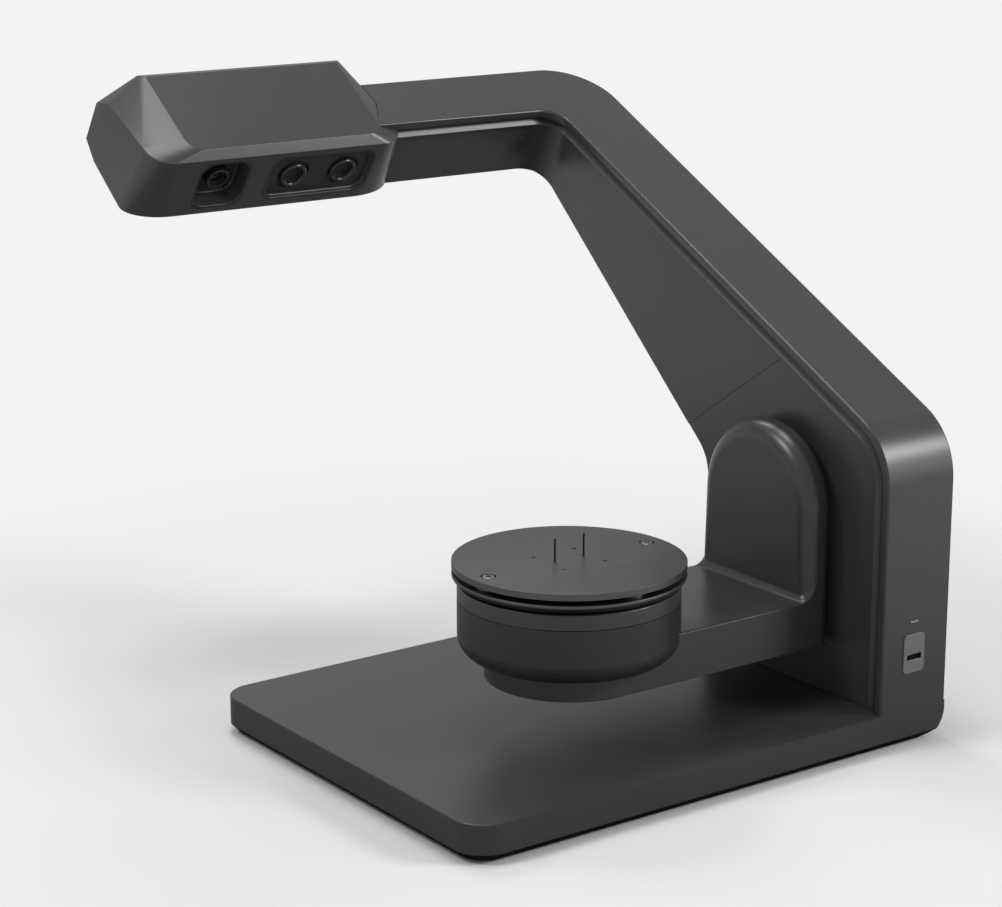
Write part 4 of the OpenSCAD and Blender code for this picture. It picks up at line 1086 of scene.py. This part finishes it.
@dataclass
class SwingBracket:
    """Cast L with an arched hub and a round-ended leg, and the cup on the leg."""

    tilt_y: float = 82.5
    tilt_z: float = 119.4
    arch_radius: float = 42.6
    hub_x: Pair = (237.0, 253.5)
    leg_z: Pair = (48.6, 74.1)
    fillet_top: float = 78.1
    hub_rim: float = 9.2
    hub_steps: int = 10
    back_rim: float = 5.5
    leg_rim: float = 0.5
    end_x: float = 116.4
    face_margin: float = 0.2
    fillet_reach: float = 4.2
    small_rims: Sequence[tuple[str, float]] = (
        ("cup_shell", 0.8), ("cup_cover_ring", 0.6), ("tilt_collar", 0.8), ("bracket_bottom_cover", 0.4))

    def rim_radius(self, middle: Vector) -> float:
        """Gives the rounding of one edge of the bracket.

        Args:
            middle: the edge's middle, in millimetres from CORNER.

        Returns:
            The radius in millimetres, 0 for an edge inside.
        """
        front, back = self.hub_x
        low, top = self.leg_z
        side = abs(middle.y - self.tilt_y)
        outer = self.arch_radius - LOOSE
        round_end = middle.x < self.end_x + CLOSE and math.hypot(middle.x - self.end_x, side) > outer
        on_outline = side > outer or round_end
        arch = middle.z > self.tilt_z and math.hypot(side, middle.z - self.tilt_z) > outer
        above_fillet = on_outline and middle.z > self.fillet_top - CLOSE
        if abs(middle.x - front) < self.face_margin and (arch or above_fillet):
            return self.hub_rim
        if abs(middle.x - back) < self.face_margin and (arch or on_outline):
            return self.back_rim
        in_fillet = front - self.fillet_reach < middle.x < front and top - CLOSE < middle.z < self.fillet_top
        if on_outline and in_fillet:
            rise = (middle.z - top) / (self.fillet_top - top)
            return self.leg_rim + (self.hub_rim - self.leg_rim) * max(rise, 0.0)
        at_bottom = abs(middle.z - low) < CLOSE and (on_outline or middle.x > back - self.face_margin)
        at_top = on_outline and abs(middle.z - top) < CLOSE
        return self.leg_rim if at_bottom or at_top else 0.0

    def build(self, shop: Workshop) -> None:
        """Builds the bracket, the cup and the collar.

        Args:
            shop: the workshop.
        """
        shop.softened("swing_bracket", self.hub_rim, self.rim_radius, segments=self.hub_steps)
        for node, radius in self.small_rims:
            shop.softened(node, radius)


@dataclass
class Turntable:
    """Anodised plate on its carrier, with two screws and two thin pins."""

    centre: Pair = (116.4, 82.5)
    plate_top: float = 109.0
    screw_ring: float = 49.5
    pin_ring: float = 9.0
    screw_profile: Profile = (
        (2.9, -1.8), (3.1, -0.5), (3.1, -0.25), (2.9, -0.1), (1.6, 0.0), (1.5, -0.9), (0.4, -1.0))
    pin_profile: Profile = (
        (0.9, -3.3), (0.9, -0.1), (0.75, 0.05), (0.55, 0.3), (0.5, 0.8), (0.5, 11.5), (0.25, 12.0))
    plate_rim: float = 0.45
    carrier_rim: float = 0.4
    screw_points: int = 32
    pin_points: int = 24

    def build(self, shop: Workshop) -> None:
        """Builds the plate, its carrier, the screws and the pins.

        Args:
            shop: the workshop.
        """
        shop.softened("table_plate", self.plate_rim)
        shop.softened("table_carrier", self.carrier_rim)
        x, y = self.centre
        for number, side in enumerate((-1, 1), 1):
            screw = turned(f"plate_screw_{number}", self.screw_profile,
                           from_corner(x + side * self.screw_ring, y, self.plate_top), self.screw_points)
            shop.settle(screw, Body.TABLE, "black_screw", *first_only(number, "table_screws"),
                        finish="screw_steel")
            pin = turned(f"sample_pin_{number}", self.pin_profile,
                         from_corner(x + side * self.pin_ring, y, self.plate_top), self.pin_points)
            shop.settle(pin, Body.TABLE, "black_screw", *first_only(number, "sample_pins"))


@dataclass
class KeyAndLight:
    """Power key with its finger notch, and the status light above it."""

    notch: tuple[float, float, float, float] = (271.05, 280.65, 47.2, 49.9)
    light_low: Pair = (272.3, 66.8)
    light_size: Pair = (7.1, 1.3)
    key_rim: float = 0.35
    notch_depth: Pair = (-0.55, 2.0)
    window_gap: float = 0.1
    window_depth: float = 6.0
    window_corner: float = 0.55
    window_steps: int = 4
    window_round: float = 0.2
    window_y: float = 2.9
    bar_rises: Pair = (0.35, 0.95)
    bar_short: float = 1.0
    bar_section: Pair = (0.22, 0.5)
    bar_corner: float = 0.1
    bar_round: float = 0.05
    bar_y: float = 0.13

    def build(self, shop: Workshop) -> None:
        """Builds the key, with its notch painted near-black as painted shade, and the light's window.

        Args:
            shop: the workshop.
        """
        key = shop.softened("power_key", self.key_rim)
        # The notch's faces get the near-black recess finish: painted shade in the notch
        key.data.materials.append(shop.materials["recess_black"])
        left, right, low, top = self.notch
        near, far = self.notch_depth
        for face in key.data.polygons:
            middle = (face.center - CORNER) / MM
            inside = left - CLOSE < middle.x < right + CLOSE and low - CLOSE < middle.z < top + CLOSE
            if inside and near < middle.y < far:
                face.material_index = 1
        width, height = self.light_size
        size = (width - self.window_gap, height - self.window_gap, self.window_depth)
        window = block("status_window", size, self.window_corner, self.window_steps)
        round_edges(window, lambda middle, run: middle.z > self.window_depth / 2 - CLOSE, self.window_round, 2)
        turn = Matrix.Rotation(math.radians(90), 4, "X")
        centre_x = self.light_low[0] + width / 2
        placed(window, from_corner(centre_x, self.window_y, self.light_low[1] + height / 2) @ turn)
        shop.settle(window, Body.BASE, "light_guide", "status_light", finish="smoked_window")
        for number, rise in enumerate(self.bar_rises, 1):
            size = (width - self.bar_short, *self.bar_section)
            bar = block(f"status_bar_{number}", size, self.bar_corner, 2)
            round_edges(bar, lambda middle, run: middle.z > self.bar_section[1] / 2 - NEAR, self.bar_round, 1)
            placed(bar, from_corner(centre_x, self.bar_y, self.light_low[1] + rise) @ turn)
            shop.settle(bar, Body.BASE, "light_guide")


@dataclass
class Ports:
    """Panel with the sockets, in the column's back."""

    panel_rim: float = 0.4

    def build(self, shop: Workshop) -> None:
        """Builds the panel."""
        shop.softened("port_panel", self.panel_rim)


def main() -> None:
    """Builds the studio and every piece."""
    logging.basicConfig(level=logging.INFO, format="%(message)s")
    bpy.ops.object.select_all(action="DESELECT")
    Studio().build()
    shop = Workshop(frame["record"])
    shop.dress_frame()
    for assembly in (BaseHousing(), Column(), ScanHead(), SwingBracket(), Turntable(), KeyAndLight(), Ports()):
        assembly.build(shop)


if __name__ == "__main__":
    main()
